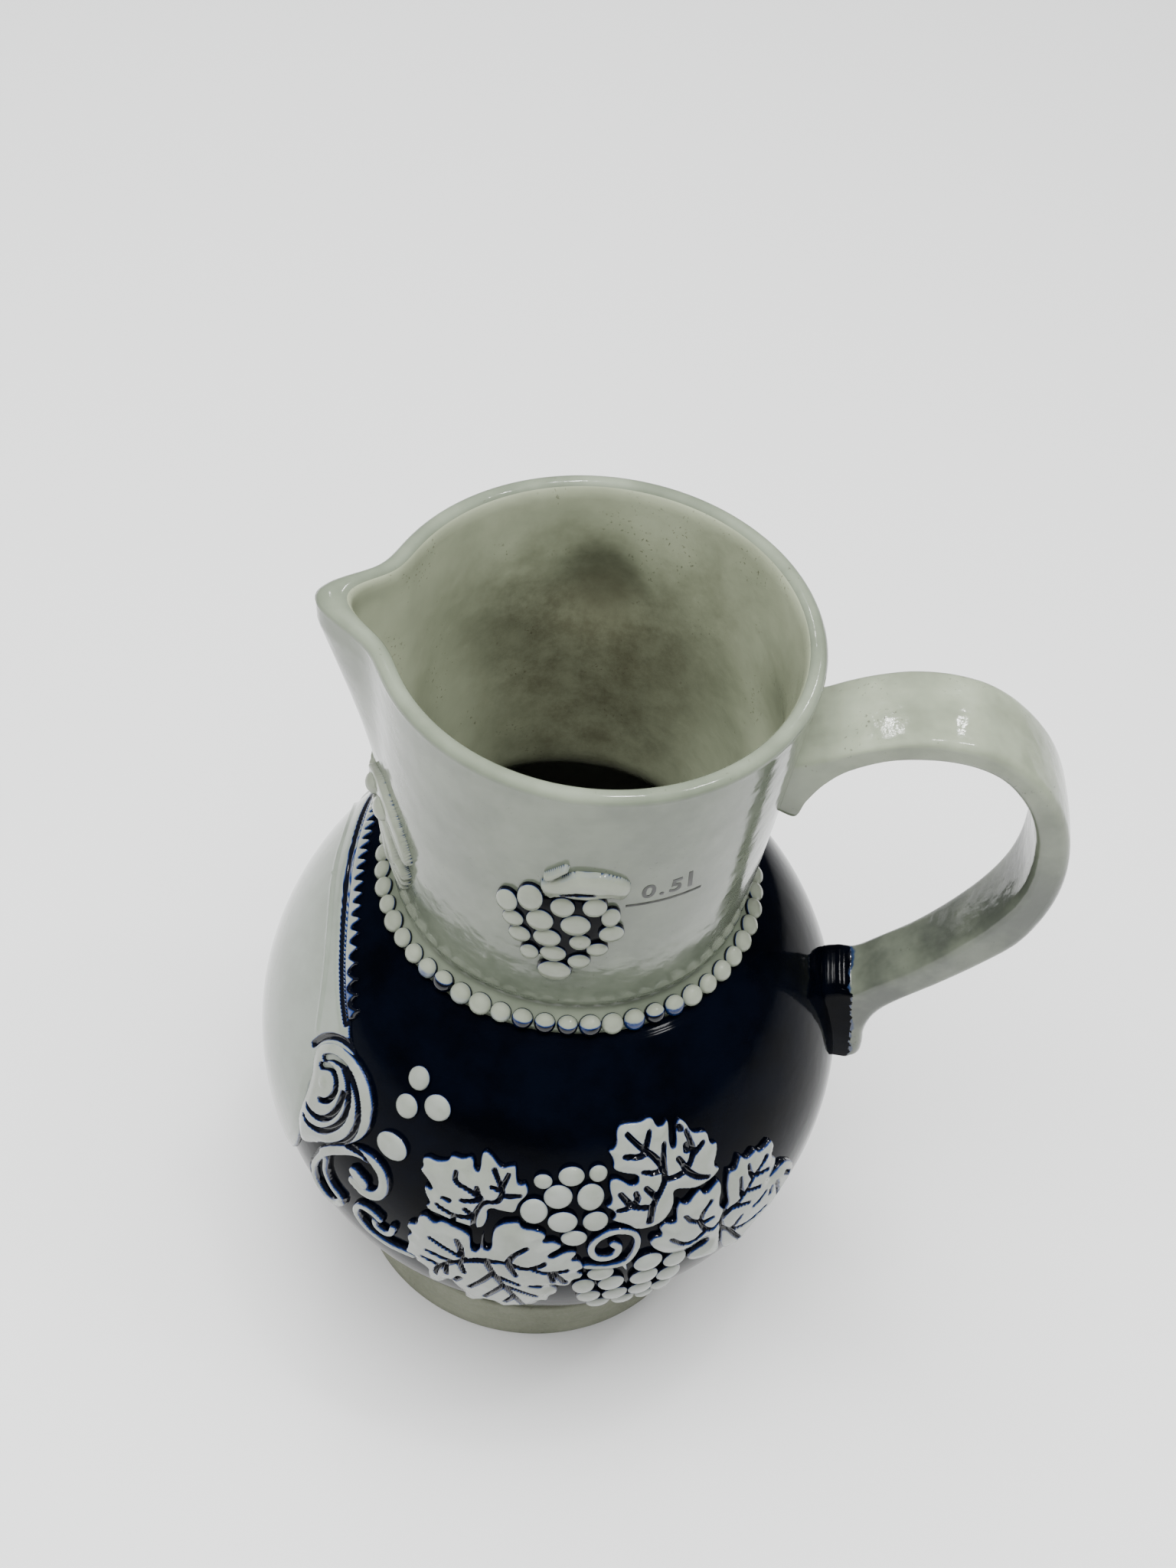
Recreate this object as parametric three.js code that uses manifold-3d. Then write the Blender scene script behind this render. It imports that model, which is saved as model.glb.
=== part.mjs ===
// Stoneware wine jug with a pulled pouring lip, a strap handle and vine relief luted to a round belly.
// Millimetres, +Z up. The axis is Z, the resting face is z = 0, the lip points to -X, the handle to +X.
import * as THREE from 'three';
import { mergeVertices } from 'three/addons/utils/BufferGeometryUtils.js';
import loadManifold from 'manifold-3d';

const wasm = await loadManifold();
wasm.setup();

// Seating gap between a luted piece and the wall that carries it
const CLEARANCE = 0.3;

// Foot
const FOOT_RADIUS = 33;
const FOOT_HEIGHT = 10;
const FOOT_CHAMFER = 0.8;
const FLOOR_THICKNESS = 5;

// Belly
const BELLY_BASE_RADIUS = 32;
const BELLY_RADIUS = 50.4;
const BELLY_WIDEST_HEIGHT = 57;
const BELLY_WALL = 4.6;
const SHOULDER_HEIGHT = 95.6;

// Neck, rim and lip
const NECK_RADIUS = 29.4;
const NECK_WALL = 4.6;
const RIM_RADIUS = 34;
const RIM_WALL = 3;
const JUG_HEIGHT = 156;
const LIP_LENGTH = 8.3;
const LIP_HALF_ANGLE = 10;
const LIP_ROOT_HEIGHT = 108;
const LIP_RISE = 1.2;

// Bead ring round the foot of the neck, in a groove of the neck wall
const BEAD_RADIUS = 1.75;
const BEAD_GROOVE_DEPTH = 0.9;

// Strap handle
const HANDLE_WIDTH = 15.7;
const HANDLE_LOWER_WIDTH = 10.8;
const HANDLE_THICKNESS = 5.2;
const HANDLE_EDGE_RADIUS = 1.9;
const HANDLE_REACH = 76.2;
const HANDLE_REACH_HEIGHT = 114;
const HANDLE_UPPER_JOINT = 133;
const HANDLE_LOWER_JOINT = 74;
const HANDLE_TAIL_LENGTH = 12;
const HANDLE_TAIL_LIP = 2.8;

// How far each kind of relief stands out from its wall
const LEAF_LIFT = 1.5;
const BERRY_LIFT = 2.2;
const SCROLL_LIFT = 1.7;
const PANEL_LIFT = 1.1;

// Facets
const AROUND = 44;
const BELLY_STEPS = 7;
const NECK_STEPS = 4;
const LIP_FACETS = 0.45;
const BERRY_SIDES = 6;
const BEAD_SIDES = 4;

const degrees = Math.PI / 180;
const glaze = (color) => new THREE.MeshStandardMaterial({ color, roughness: 0.3, metalness: 0 });
const greyGlaze = glaze(0xb4b7ae);
const cobaltGlaze = glaze(0x05080f);
const reliefGlaze = glaze(0xc4c8c6);
const bareStoneware = new THREE.MeshStandardMaterial({ color: 0x8b8a80, roughness: 0.8, metalness: 0 });

const jug = new THREE.Group();

function addPiece(name, geometry, material) {
  const mesh = new THREE.Mesh(geometry, material);
  mesh.name = name;
  jug.add(mesh);
}

// A closed body from its points and triangles, turned so that its faces point out
function closedBody(points, triangles) {
  let volume = 0;
  for (const [a, b, c] of triangles) {
    volume += points[a].dot(new THREE.Vector3().crossVectors(points[b], points[c]));
  }
  const order = volume < 0 ? ([a, b, c]) => [a, c, b] : (corner) => corner;
  const geometry = new THREE.BufferGeometry().setFromPoints(points);
  geometry.setIndex(triangles.flatMap(order));
  geometry.computeVertexNormals();
  return geometry;
}

// Skin over a row of rings with equal point counts; the row closes on itself, or its two ends are capped
// by fans about the given end points
function skin(rings, closesOnItself, ends = []) {
  const count = rings[0].length;
  const points = rings.flat();
  const triangles = [];
  const spans = closesOnItself ? rings.length : rings.length - 1;
  for (let i = 0; i < spans; i++) {
    const here = i * count;
    const next = ((i + 1) % rings.length) * count;
    for (let j = 0; j < count; j++) {
      const k = (j + 1) % count;
      triangles.push([here + j, here + k, next + k], [here + j, next + k, next + j]);
    }
  }
  if (!closesOnItself) {
    const last = (rings.length - 1) * count;
    [rings[0], rings[rings.length - 1]].forEach((ring, end) => {
      const middle = ring.reduce((sum, point) => sum.addScaledVector(point, 1 / count), new THREE.Vector3());
      points.push(ends[end] ?? middle);
      for (let j = 0; j < count; j++) {
        const k = (j + 1) % count;
        const rim = end === 0 ? [k, j] : [last + j, last + k];
        triangles.push([points.length - 1, ...rim]);
      }
    });
  }
  return closedBody(points, triangles);
}

// Body turned on the axis: a row of [radius, height] points, with an optional change of radius and height
// round it, and with its facets drawn closer together at the lip
function turned(profile, closesOnItself, extraRadius = () => 0, extraHeight = () => 0) {
  const rings = profile.map(([radius, height]) => {
    const ring = [];
    for (let i = 0; i < AROUND; i++) {
      const turn = (i / AROUND) * 2 * Math.PI;
      const angle = turn + LIP_FACETS * Math.sin(turn);
      const reach = radius + extraRadius(angle, height);
      const rise = height + extraHeight(angle, height);
      ring.push(new THREE.Vector3(reach * Math.cos(angle), reach * Math.sin(angle), rise));
    }
    return ring;
  });
  return skin(rings, closesOnItself);
}

function toSolid(geometry) {
  const bare = geometry.clone();
  bare.deleteAttribute('normal');
  bare.deleteAttribute('uv');
  const merged = mergeVertices(bare);
  const vertProperties = new Float32Array(merged.attributes.position.array);
  const triVerts = new Uint32Array(merged.index.array);
  return new wasm.Manifold(new wasm.Mesh({ numProp: 3, vertProperties, triVerts }));
}

function toGeometry(solid) {
  const mesh = solid.getMesh();
  const geometry = new THREE.BufferGeometry();
  geometry.setAttribute('position', new THREE.BufferAttribute(mesh.vertProperties, 3));
  geometry.setIndex(new THREE.BufferAttribute(mesh.triVerts, 1));
  geometry.computeVertexNormals();
  return geometry;
}

function fused(geometries) {
  return toGeometry(geometries.map(toSolid).reduce((whole, piece) => whole.add(piece)));
}

// Belly outline: two arcs from the foot to the shoulder that meet upright at the widest girth
const grooveRadius = NECK_RADIUS - BEAD_GROOVE_DEPTH;
const beadRingRadius = grooveRadius + CLEARANCE + BEAD_RADIUS;
const beadHeight = SHOULDER_HEIGHT + CLEARANCE + BEAD_RADIUS;
const shoulderRadius = beadRingRadius + BEAD_RADIUS + CLEARANCE;
const throatRadius = NECK_RADIUS - NECK_WALL;
const lowerRise = BELLY_WIDEST_HEIGHT - FOOT_HEIGHT;
const upperRise = SHOULDER_HEIGHT - BELLY_WIDEST_HEIGHT;
const lowerSpread = BELLY_RADIUS - BELLY_BASE_RADIUS;
const upperSpread = BELLY_RADIUS - shoulderRadius;
const bellyOutline = new THREE.CurvePath();
bellyOutline.add(new THREE.CubicBezierCurve(
  new THREE.Vector2(BELLY_BASE_RADIUS, FOOT_HEIGHT),
  new THREE.Vector2(BELLY_BASE_RADIUS + 0.59 * lowerSpread, FOOT_HEIGHT + 0.43 * lowerRise),
  new THREE.Vector2(BELLY_RADIUS, BELLY_WIDEST_HEIGHT - 0.39 * lowerRise),
  new THREE.Vector2(BELLY_RADIUS, BELLY_WIDEST_HEIGHT),
));
bellyOutline.add(new THREE.CubicBezierCurve(
  new THREE.Vector2(BELLY_RADIUS, BELLY_WIDEST_HEIGHT),
  new THREE.Vector2(BELLY_RADIUS, BELLY_WIDEST_HEIGHT + 0.5 * upperRise),
  new THREE.Vector2(shoulderRadius + 0.28 * upperSpread, SHOULDER_HEIGHT - 0.03 * upperRise),
  new THREE.Vector2(shoulderRadius, SHOULDER_HEIGHT),
));

// Outline point at a share of the wall's length, moved out (or in) along the wall's normal
function bellyOffset(share, lift) {
  const point = bellyOutline.getPoint(share);
  const tangent = bellyOutline.getTangent(share);
  return [point.x + tangent.y * lift, point.y - tangent.x * lift];
}

function bellyRadiusAt(height) {
  let low = 0;
  let high = 1;
  for (let i = 0; i < 40; i++) {
    const middle = (low + high) / 2;
    if (bellyOutline.getPoint(middle).y < height) low = middle;
    else high = middle;
  }
  return bellyOutline.getPoint(low).x;
}

// Neck wall: a straight cone above the bead groove, drawn out into the lip
const grooveTop = beadHeight + BEAD_RADIUS + CLEARANCE;
const coveTop = grooveTop + 2 * BEAD_GROOVE_DEPTH;

function neckRadiusAt(height) {
  return THREE.MathUtils.mapLinear(height, coveTop, JUG_HEIGHT, NECK_RADIUS, RIM_RADIUS);
}

function lipReach(angle, height) {
  const fromLip = Math.PI - Math.abs(Math.atan2(Math.sin(angle), Math.cos(angle)));
  const spread = Math.exp(-((fromLip / (LIP_HALF_ANGLE * degrees)) ** 2));
  const fullHeight = 0.9 * (JUG_HEIGHT - LIP_ROOT_HEIGHT);
  const climb = THREE.MathUtils.clamp((height - LIP_ROOT_HEIGHT) / fullHeight, 0, 1);
  return LIP_LENGTH * spread * climb ** 1.6;
}

const lipRise = (angle, height) => (LIP_RISE * lipReach(angle, height)) / LIP_LENGTH;

function makeFoot() {
  const wellRadius = BELLY_BASE_RADIUS - BELLY_WALL;
  const wellFillet = FOOT_HEIGHT - FLOOR_THICKNESS;
  const profile = [
    [FOOT_RADIUS - FOOT_CHAMFER, 0],
    [FOOT_RADIUS, FOOT_CHAMFER],
    [FOOT_RADIUS, FOOT_HEIGHT - FOOT_CHAMFER],
    [FOOT_RADIUS - FOOT_CHAMFER, FOOT_HEIGHT],
    [wellRadius, FOOT_HEIGHT],
    [wellRadius - 0.3 * wellFillet, FLOOR_THICKNESS + 0.3 * wellFillet],
    [wellRadius - wellFillet, FLOOR_THICKNESS],
  ];
  addPiece('foot', turned(profile, false), bareStoneware);
}

function makeBelly() {
  const profile = [];
  for (let i = 0; i <= 2 * BELLY_STEPS; i++) profile.push(bellyOffset(i / (2 * BELLY_STEPS), 0));
  const ceiling = SHOULDER_HEIGHT - BELLY_WALL;
  profile.push([throatRadius, SHOULDER_HEIGHT], [throatRadius, ceiling + 0.3 * BELLY_WALL]);
  profile.push([throatRadius + 0.3 * BELLY_WALL, ceiling]);
  for (let i = BELLY_STEPS; i > 0; i--) {
    const [radius, height] = bellyOffset(i / BELLY_STEPS, -BELLY_WALL);
    if (height < ceiling - 1 && height > FOOT_HEIGHT + 1) profile.push([radius, height]);
  }
  profile.push([BELLY_BASE_RADIUS - BELLY_WALL, FOOT_HEIGHT]);
  addPiece('belly', turned(profile, true), cobaltGlaze);
}

function makeNeck() {
  const rimEdge = RIM_WALL / 3;
  const profile = [
    [grooveRadius, SHOULDER_HEIGHT],
    [grooveRadius, grooveTop],
    [NECK_RADIUS, coveTop],
  ];
  const stepHeight = (JUG_HEIGHT - 2 * rimEdge - coveTop) / NECK_STEPS;
  for (let i = 1; i <= NECK_STEPS; i++) {
    const height = coveTop + i * stepHeight;
    profile.push([neckRadiusAt(height), height]);
  }
  profile.push([RIM_RADIUS - 0.6 * rimEdge, JUG_HEIGHT - 0.5 * rimEdge]);
  profile.push([RIM_RADIUS - 0.5 * RIM_WALL, JUG_HEIGHT]);
  profile.push([RIM_RADIUS - RIM_WALL + 0.6 * rimEdge, JUG_HEIGHT - 0.5 * rimEdge]);
  for (let i = NECK_STEPS; i >= 1; i--) {
    const height = coveTop + i * stepHeight;
    const wall = THREE.MathUtils.mapLinear(height, coveTop, JUG_HEIGHT, NECK_WALL, RIM_WALL);
    profile.push([neckRadiusAt(height) - wall, height]);
  }
  profile.push([throatRadius, coveTop], [throatRadius, SHOULDER_HEIGHT]);
  addPiece('neck', turned(profile, true, lipReach, lipRise), greyGlaze);
}

// One closed string of beads: a round section that swells and narrows along the ring
function makeBeadRing() {
  const beads = Math.round((Math.PI * beadRingRadius) / BEAD_RADIUS);
  const stepsPerBead = 3;
  const rings = [];
  for (let i = 0; i < beads * stepsPerBead; i++) {
    const angle = (i / (beads * stepsPerBead)) * 2 * Math.PI;
    const alongBead = (i % stepsPerBead) / stepsPerBead;
    const swell = BEAD_RADIUS * (0.55 + 0.45 * Math.sin(Math.PI * alongBead));
    const ring = [];
    for (let j = 0; j < BEAD_SIDES; j++) {
      const turn = (j / BEAD_SIDES) * 2 * Math.PI;
      const reach = beadRingRadius + swell * Math.cos(turn);
      const height = beadHeight + swell * Math.sin(turn);
      ring.push(new THREE.Vector3(reach * Math.cos(angle), reach * Math.sin(angle), height));
    }
    rings.push(ring);
  }
  addPiece('bead_ring', skin(rings, true), reliefGlaze);
}

// Strap section across the handle: half width along Y, thickness along the outward normal
function strapSection(width, thickness) {
  const edge = Math.min(HANDLE_EDGE_RADIUS, 0.45 * thickness);
  const section = [];
  for (let corner = 0; corner < 4; corner++) {
    const sideY = corner === 0 || corner === 3 ? 1 : -1;
    const sideN = corner < 2 ? 1 : -1;
    for (let i = 0; i <= 2; i++) {
      const turn = (corner + i / 2) * (Math.PI / 2);
      section.push([
        sideY * (width / 2 - edge) + edge * Math.cos(turn),
        sideN * (thickness / 2 - edge) + edge * Math.sin(turn),
      ]);
    }
  }
  return section;
}

// Tail that runs down the wall below a joint: its outline lies in XZ and is drawn out across the strap
function handleTail(wallRadius, topHeight, meetRadius, meetHeight, endHeight, width) {
  const lip = wallRadius + HANDLE_TAIL_LIP;
  const inside = wallRadius - HANDLE_TAIL_LIP;
  const outline = new THREE.Shape();
  outline.moveTo(inside, endHeight);
  outline.lineTo(lip, endHeight);
  outline.bezierCurveTo(
    lip, THREE.MathUtils.lerp(endHeight, meetHeight, 0.75),
    THREE.MathUtils.lerp(lip, meetRadius, 0.35), THREE.MathUtils.lerp(endHeight, meetHeight, 0.9),
    meetRadius, meetHeight,
  );
  outline.lineTo(meetRadius, meetHeight + HANDLE_EDGE_RADIUS);
  outline.lineTo(inside, topHeight);
  const drawn = { depth: width, curveSegments: 7, bevelEnabled: false };
  const geometry = new THREE.ExtrudeGeometry(outline, drawn);
  geometry.translate(0, 0, -width / 2);
  return geometry.rotateX(Math.PI / 2);
}

function makeHandle() {
  const upperWall = neckRadiusAt(HANDLE_UPPER_JOINT);
  const lowerWall = bellyRadiusAt(HANDLE_LOWER_JOINT);
  const outReach = HANDLE_REACH - upperWall;
  const inReach = HANDLE_REACH - lowerWall;
  const rise = HANDLE_UPPER_JOINT - HANDLE_REACH_HEIGHT;
  const fall = HANDLE_REACH_HEIGHT - HANDLE_LOWER_JOINT;
  const path = new THREE.CurvePath();
  path.add(new THREE.CubicBezierCurve3(
    new THREE.Vector3(upperWall - CLEARANCE, 0, HANDLE_UPPER_JOINT),
    new THREE.Vector3(upperWall + 0.41 * outReach, 0, HANDLE_UPPER_JOINT + 1.16 * rise),
    new THREE.Vector3(HANDLE_REACH, 0, HANDLE_REACH_HEIGHT + 1.5 * rise),
    new THREE.Vector3(HANDLE_REACH, 0, HANDLE_REACH_HEIGHT),
  ));
  path.add(new THREE.CubicBezierCurve3(
    new THREE.Vector3(HANDLE_REACH, 0, HANDLE_REACH_HEIGHT),
    new THREE.Vector3(HANDLE_REACH, 0, HANDLE_REACH_HEIGHT - 0.35 * fall),
    new THREE.Vector3(lowerWall + 0.36 * inReach, 0, HANDLE_LOWER_JOINT + 0.16 * fall),
    new THREE.Vector3(lowerWall - CLEARANCE, 0, HANDLE_LOWER_JOINT),
  ));
  const stations = 20;
  const rings = [];
  for (let i = 0; i <= stations; i++) {
    const share = i / stations;
    const point = path.getPoint(share);
    const tangent = path.getTangent(share);
    const taper = THREE.MathUtils.smoothstep(share, 0.3, 0.8);
    const width = THREE.MathUtils.lerp(HANDLE_WIDTH, HANDLE_LOWER_WIDTH, taper);
    rings.push(strapSection(width, HANDLE_THICKNESS).map(([across, outward]) => (
      new THREE.Vector3(point.x - tangent.z * outward, across, point.z + tangent.x * outward)
    )));
  }
  const tailDrop = HANDLE_TAIL_LENGTH - HANDLE_THICKNESS / 2;
  const upperTail = handleTail(
    upperWall, HANDLE_UPPER_JOINT + HANDLE_THICKNESS / 2,
    upperWall + 2.2 * HANDLE_THICKNESS, HANDLE_UPPER_JOINT + 1.2 * HANDLE_THICKNESS,
    HANDLE_UPPER_JOINT - tailDrop + HANDLE_THICKNESS / 2, HANDLE_WIDTH,
  );
  const lowerTail = handleTail(
    bellyRadiusAt(HANDLE_LOWER_JOINT - tailDrop), HANDLE_LOWER_JOINT + HANDLE_THICKNESS / 2,
    lowerWall + 2.7 * HANDLE_THICKNESS, HANDLE_LOWER_JOINT + 1.5 * HANDLE_THICKNESS,
    HANDLE_LOWER_JOINT - tailDrop, HANDLE_LOWER_WIDTH,
  );
  const bellyCore = [];
  for (let i = 0; i <= 2 * BELLY_STEPS; i++) bellyCore.push(bellyOffset(i / (2 * BELLY_STEPS), CLEARANCE));
  const neckCore = [
    [NECK_RADIUS + CLEARANCE, SHOULDER_HEIGHT],
    [NECK_RADIUS + CLEARANCE, coveTop],
    [RIM_RADIUS + CLEARANCE, JUG_HEIGHT],
  ];
  const handle = [skin(rings, false), upperTail, lowerTail].map(toSolid)
    .reduce((whole, piece) => whole.add(piece))
    .subtract(toSolid(turned(bellyCore, false)))
    .subtract(toSolid(turned(neckCore, false)));
  addPiece('handle', toGeometry(handle), greyGlaze);
}

// The relief is drawn on the unrolled belly wall: degrees round the axis, per cent of the wall's length
// up from the foot. Sizes are in degrees, and one degree across is as long as this share of the wall.
const PERCENT_PER_DEGREE = 0.923;

function onBelly(degree, percent, lift) {
  const [radius, height] = bellyOffset(percent / 100, lift);
  const angle = degree * degrees;
  return new THREE.Vector3(radius * Math.cos(angle), radius * Math.sin(angle), height);
}

// On the neck the drawing has degrees round the axis and per cent of the height from the cove to the rim
const NECK_PERCENT_PER_DEGREE = 1.0;

function onNeck(degree, percent, lift) {
  const angle = degree * degrees;
  const height = THREE.MathUtils.mapLinear(percent, 0, 100, coveTop, JUG_HEIGHT);
  const radius = neckRadiusAt(height) + lipReach(angle, height) + lift;
  return new THREE.Vector3(radius * Math.cos(angle), radius * Math.sin(angle), height);
}

// Drawing places for the two sides of the jug: the near side as drawn, the far side as its mirror image
const bellySides = {
  near: (degree, percent, lift) => onBelly(degree, percent, lift),
  far: (degree, percent, lift) => onBelly(-degree, percent, lift),
};
const neckSides = {
  near: (degree, percent, lift) => onNeck(degree, percent, lift),
  far: (degree, percent, lift) => onNeck(-degree, percent, lift),
};

// Serrated vine leaf about the point where its veins meet; each lobe is [direction, reach] in degrees
function leafOutline(lobes, sinusDepth) {
  const tips = lobes.map(([direction, reach]) => ({ direction, reach }));
  const outline = [];
  tips.forEach((tip, i) => {
    const next = tips[(i + 1) % tips.length];
    const gap = (next.direction - tip.direction + 360) % 360;
    const sinus = {
      direction: tip.direction + gap / 2,
      reach: sinusDepth * Math.min(tip.reach, next.reach) * (gap > 90 ? 0.6 : 1),
    };
    const place = ({ direction, reach }) => (
      new THREE.Vector2(reach * Math.cos(direction * degrees), reach * Math.sin(direction * degrees))
    );
    const from = place(tip);
    const bottom = place(sinus);
    const to = place(next);
    const tooth = (start, end, share, out) => start.clone().lerp(end, share).multiplyScalar(out);
    outline.push(from, tooth(from, bottom, 0.5, 1.12), bottom, tooth(bottom, to, 0.5, 1.12));
  });
  return outline;
}

// Flat-topped plate on a wall, between its seat and its lift, spread from a centre out to its outline
function plate(place, [degree, percent], outline, lift, percentPerDegree) {
  const ring = (share, height) => outline.map((point) => (
    place(degree + share * point.x, percent + share * point.y * percentPerDegree, height)
  ));
  const rings = [ring(0.5, lift), ring(1, 0.85 * lift), ring(1, CLEARANCE), ring(0.5, CLEARANCE)];
  return skin(rings, false, [place(degree, percent, lift), place(degree, percent, CLEARANCE)]);
}

const vineLeaves = {
  leaf_left: {
    at: [-103, 67.2], sinus: 0.7,
    lobes: [[-95, 4], [-12, 8], [38, 11], [92, 12], [140, 11.5], [200, 9]],
  },
  leaf_top: {
    at: [-66, 69.9], sinus: 0.7,
    lobes: [[-80, 7.5], [14, 14.5], [57, 16.5], [118, 16], [152, 10], [202, 9]],
  },
  leaf_large: {
    at: [-97, 53], sinus: 0.72,
    lobes: [[-68, 20], [-8, 15], [52, 11.5], [160, 15.5], [213, 17.5], [256, 19]],
  },
  leaf_middle: {
    at: [-58, 56.5], sinus: 0.7,
    lobes: [[-110, 5], [5, 6.5], [45, 9.5], [82, 9], [165, 6]],
  },
  leaf_right: {
    at: [-42.5, 58.2], sinus: 0.7,
    lobes: [[-80, 9], [0, 7], [45, 9.5], [95, 10.5], [152, 5.5]],
  },
};

function makeLeaves(side) {
  for (const [name, leaf] of Object.entries(vineLeaves)) {
    const outline = leafOutline(leaf.lobes, leaf.sinus);
    const geometry = plate(bellySides[side], leaf.at, outline, LEAF_LIFT, PERCENT_PER_DEGREE);
    addPiece(`${name}_${side}`, geometry, reliefGlaze);
  }
}

// Domed berry on a wall
function berry(place, [degree, percent], radius, percentPerDegree, sides = BERRY_SIDES) {
  const ring = (share, lift) => {
    const points = [];
    for (let i = 0; i < sides; i++) {
      const turn = (i / sides) * 2 * Math.PI;
      const across = share * radius * Math.cos(turn);
      const up = share * radius * Math.sin(turn) * percentPerDegree;
      points.push(place(degree + across, percent + up, lift));
    }
    return points;
  };
  const rings = [ring(1, CLEARANCE), ring(0.8, THREE.MathUtils.lerp(CLEARANCE, BERRY_LIFT, 0.75))];
  return skin(rings, false, [place(degree, percent, CLEARANCE), place(degree, percent, BERRY_LIFT)]);
}

const looseBerries = {
  berry_trio_top: [-119.2, 86.3],
  berry_trio_left: [-120.2, 79.6],
  berry_trio_right: [-113.2, 82.6],
  berry_single: [-121.2, 70.6],
};
const LOOSE_BERRY_RADIUS = 2.7;

function makeLooseBerries(side) {
  for (const [name, at] of Object.entries(looseBerries)) {
    const geometry = berry(bellySides[side], at, LOOSE_BERRY_RADIUS, PERCENT_PER_DEGREE);
    addPiece(`${name}_${side}`, geometry, reliefGlaze);
  }
}

// Bunches of grapes: each berry runs into its neighbours
const GRAPE_RADIUS = 3.35;
const grapeBunches = {
  grapes_upper: [
    [-89, 74.5], [-84, 75.6], [-79.4, 76.4], [-85.6, 70.6], [-80.6, 71], [-89.8, 68.6],
    [-85, 65.6], [-79.8, 66], [-82.4, 61.2],
  ],
  grapes_lower: [
    [-76, 49.6], [-70.6, 50], [-65.2, 49.6], [-78.8, 44.8], [-73.4, 45], [-68, 45], [-62.6, 45],
    [-76, 40.2], [-70.6, 40.2], [-65.2, 40.2], [-59.8, 40.6],
  ],
};

function makeGrapes(side) {
  for (const [name, places] of Object.entries(grapeBunches)) {
    const berries = places.map((at) => berry(bellySides[side], at, GRAPE_RADIUS, PERCENT_PER_DEGREE));
    addPiece(`${name}_${side}`, fused(berries), reliefGlaze);
  }
}

// The bunch on the neck: rows of berries that narrow downwards under a broad stalk end
const NECK_BUNCH = { degree: -92, topPercent: 56.5, rowStep: 7.7, berryStep: 8.6, berryRadius: 4.8 };

function makeNeckGrapes(side) {
  const rows = [3, 4, 4, 3, 2, 1];
  const berries = rows.flatMap((count, row) => Array.from({ length: count }, (_, i) => berry(
    neckSides[side],
    [
      NECK_BUNCH.degree + (i - (count - 1) / 2) * NECK_BUNCH.berryStep,
      NECK_BUNCH.topPercent - row * NECK_BUNCH.rowStep,
    ],
    NECK_BUNCH.berryRadius,
    NECK_PERCENT_PER_DEGREE,
    BERRY_SIDES - 1,
  )));
  const stalkOutline = leafOutline([[-20, 16], [20, 15], [110, 6], [165, 9], [215, 8]], 0.7);
  const stalkAt = [NECK_BUNCH.degree, NECK_BUNCH.topPercent + 1.1 * NECK_BUNCH.rowStep];
  berries.push(plate(neckSides[side], stalkAt, stalkOutline, LEAF_LIFT, NECK_PERCENT_PER_DEGREE));
  addPiece(`neck_grapes_${side}`, fused(berries), greyGlaze);
}

// Sprig under the lip: two buds between a pair of leaves that spread down round the neck
const NECK_SPRIG = { leafDegree: 21, leafPercent: 28, budRadius: 5, budPercents: [34.5, 27, 19.5] };

function makeNeckSprig() {
  const leaf = leafOutline([[-40, 24], [5, 21], [75, 19], [130, 24], [185, 20], [235, 24]], 0.75);
  const leafAt = [NECK_SPRIG.leafDegree - 180, NECK_SPRIG.leafPercent];
  const pieces = Object.values(neckSides).map((place) => (
    plate(place, leafAt, leaf, LEAF_LIFT, NECK_PERCENT_PER_DEGREE)
  ));
  for (const percent of NECK_SPRIG.budPercents) {
    pieces.push(berry(onNeck, [180, percent], NECK_SPRIG.budRadius, NECK_PERCENT_PER_DEGREE));
  }
  addPiece('neck_sprig', fused(pieces), greyGlaze);
}

// Rounded band along a drawn line; its width swells in the middle and narrows at both ends
function band(place, line, widestAt, width, steps) {
  const curve = new THREE.CatmullRomCurve3(line.map(([degree, percent]) => (
    new THREE.Vector3(degree, percent / PERCENT_PER_DEGREE, 0)
  )), false, 'centripetal');
  const rings = [];
  for (let i = 0; i <= steps; i++) {
    const share = i / steps;
    const point = curve.getPointAt(share);
    const tangent = curve.getTangentAt(share);
    const swell = share < widestAt ? share / widestAt : (1 - share) / (1 - widestAt);
    const half = (width / 2) * (0.35 + 0.65 * Math.sin((Math.PI / 2) * swell));
    const ring = [[-1, 0], [-0.75, 0.85], [0, 1], [0.75, 0.85], [1, 0]].map(([across, up]) => place(
      point.x - tangent.y * across * half,
      (point.y + tangent.x * across * half) * PERCENT_PER_DEGREE,
      CLEARANCE + up * (SCROLL_LIFT - CLEARANCE),
    ));
    rings.push(ring);
  }
  return skin(rings, false);
}

// Line that unwinds from an eye, with an optional run of tail places
function volute({ eye, turn, reach, tail = [] }) {
  const line = [];
  const places = 14;
  for (let i = 0; i <= places; i++) {
    const share = i / places;
    const angle = THREE.MathUtils.lerp(turn[0], turn[1], share) * degrees;
    const radius = reach[0] + (reach[1] - reach[0]) * share ** 1.3;
    line.push([eye[0] + radius * Math.cos(angle), eye[1] + radius * Math.sin(angle) * PERCENT_PER_DEGREE]);
  }
  return line.concat(tail);
}

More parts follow.
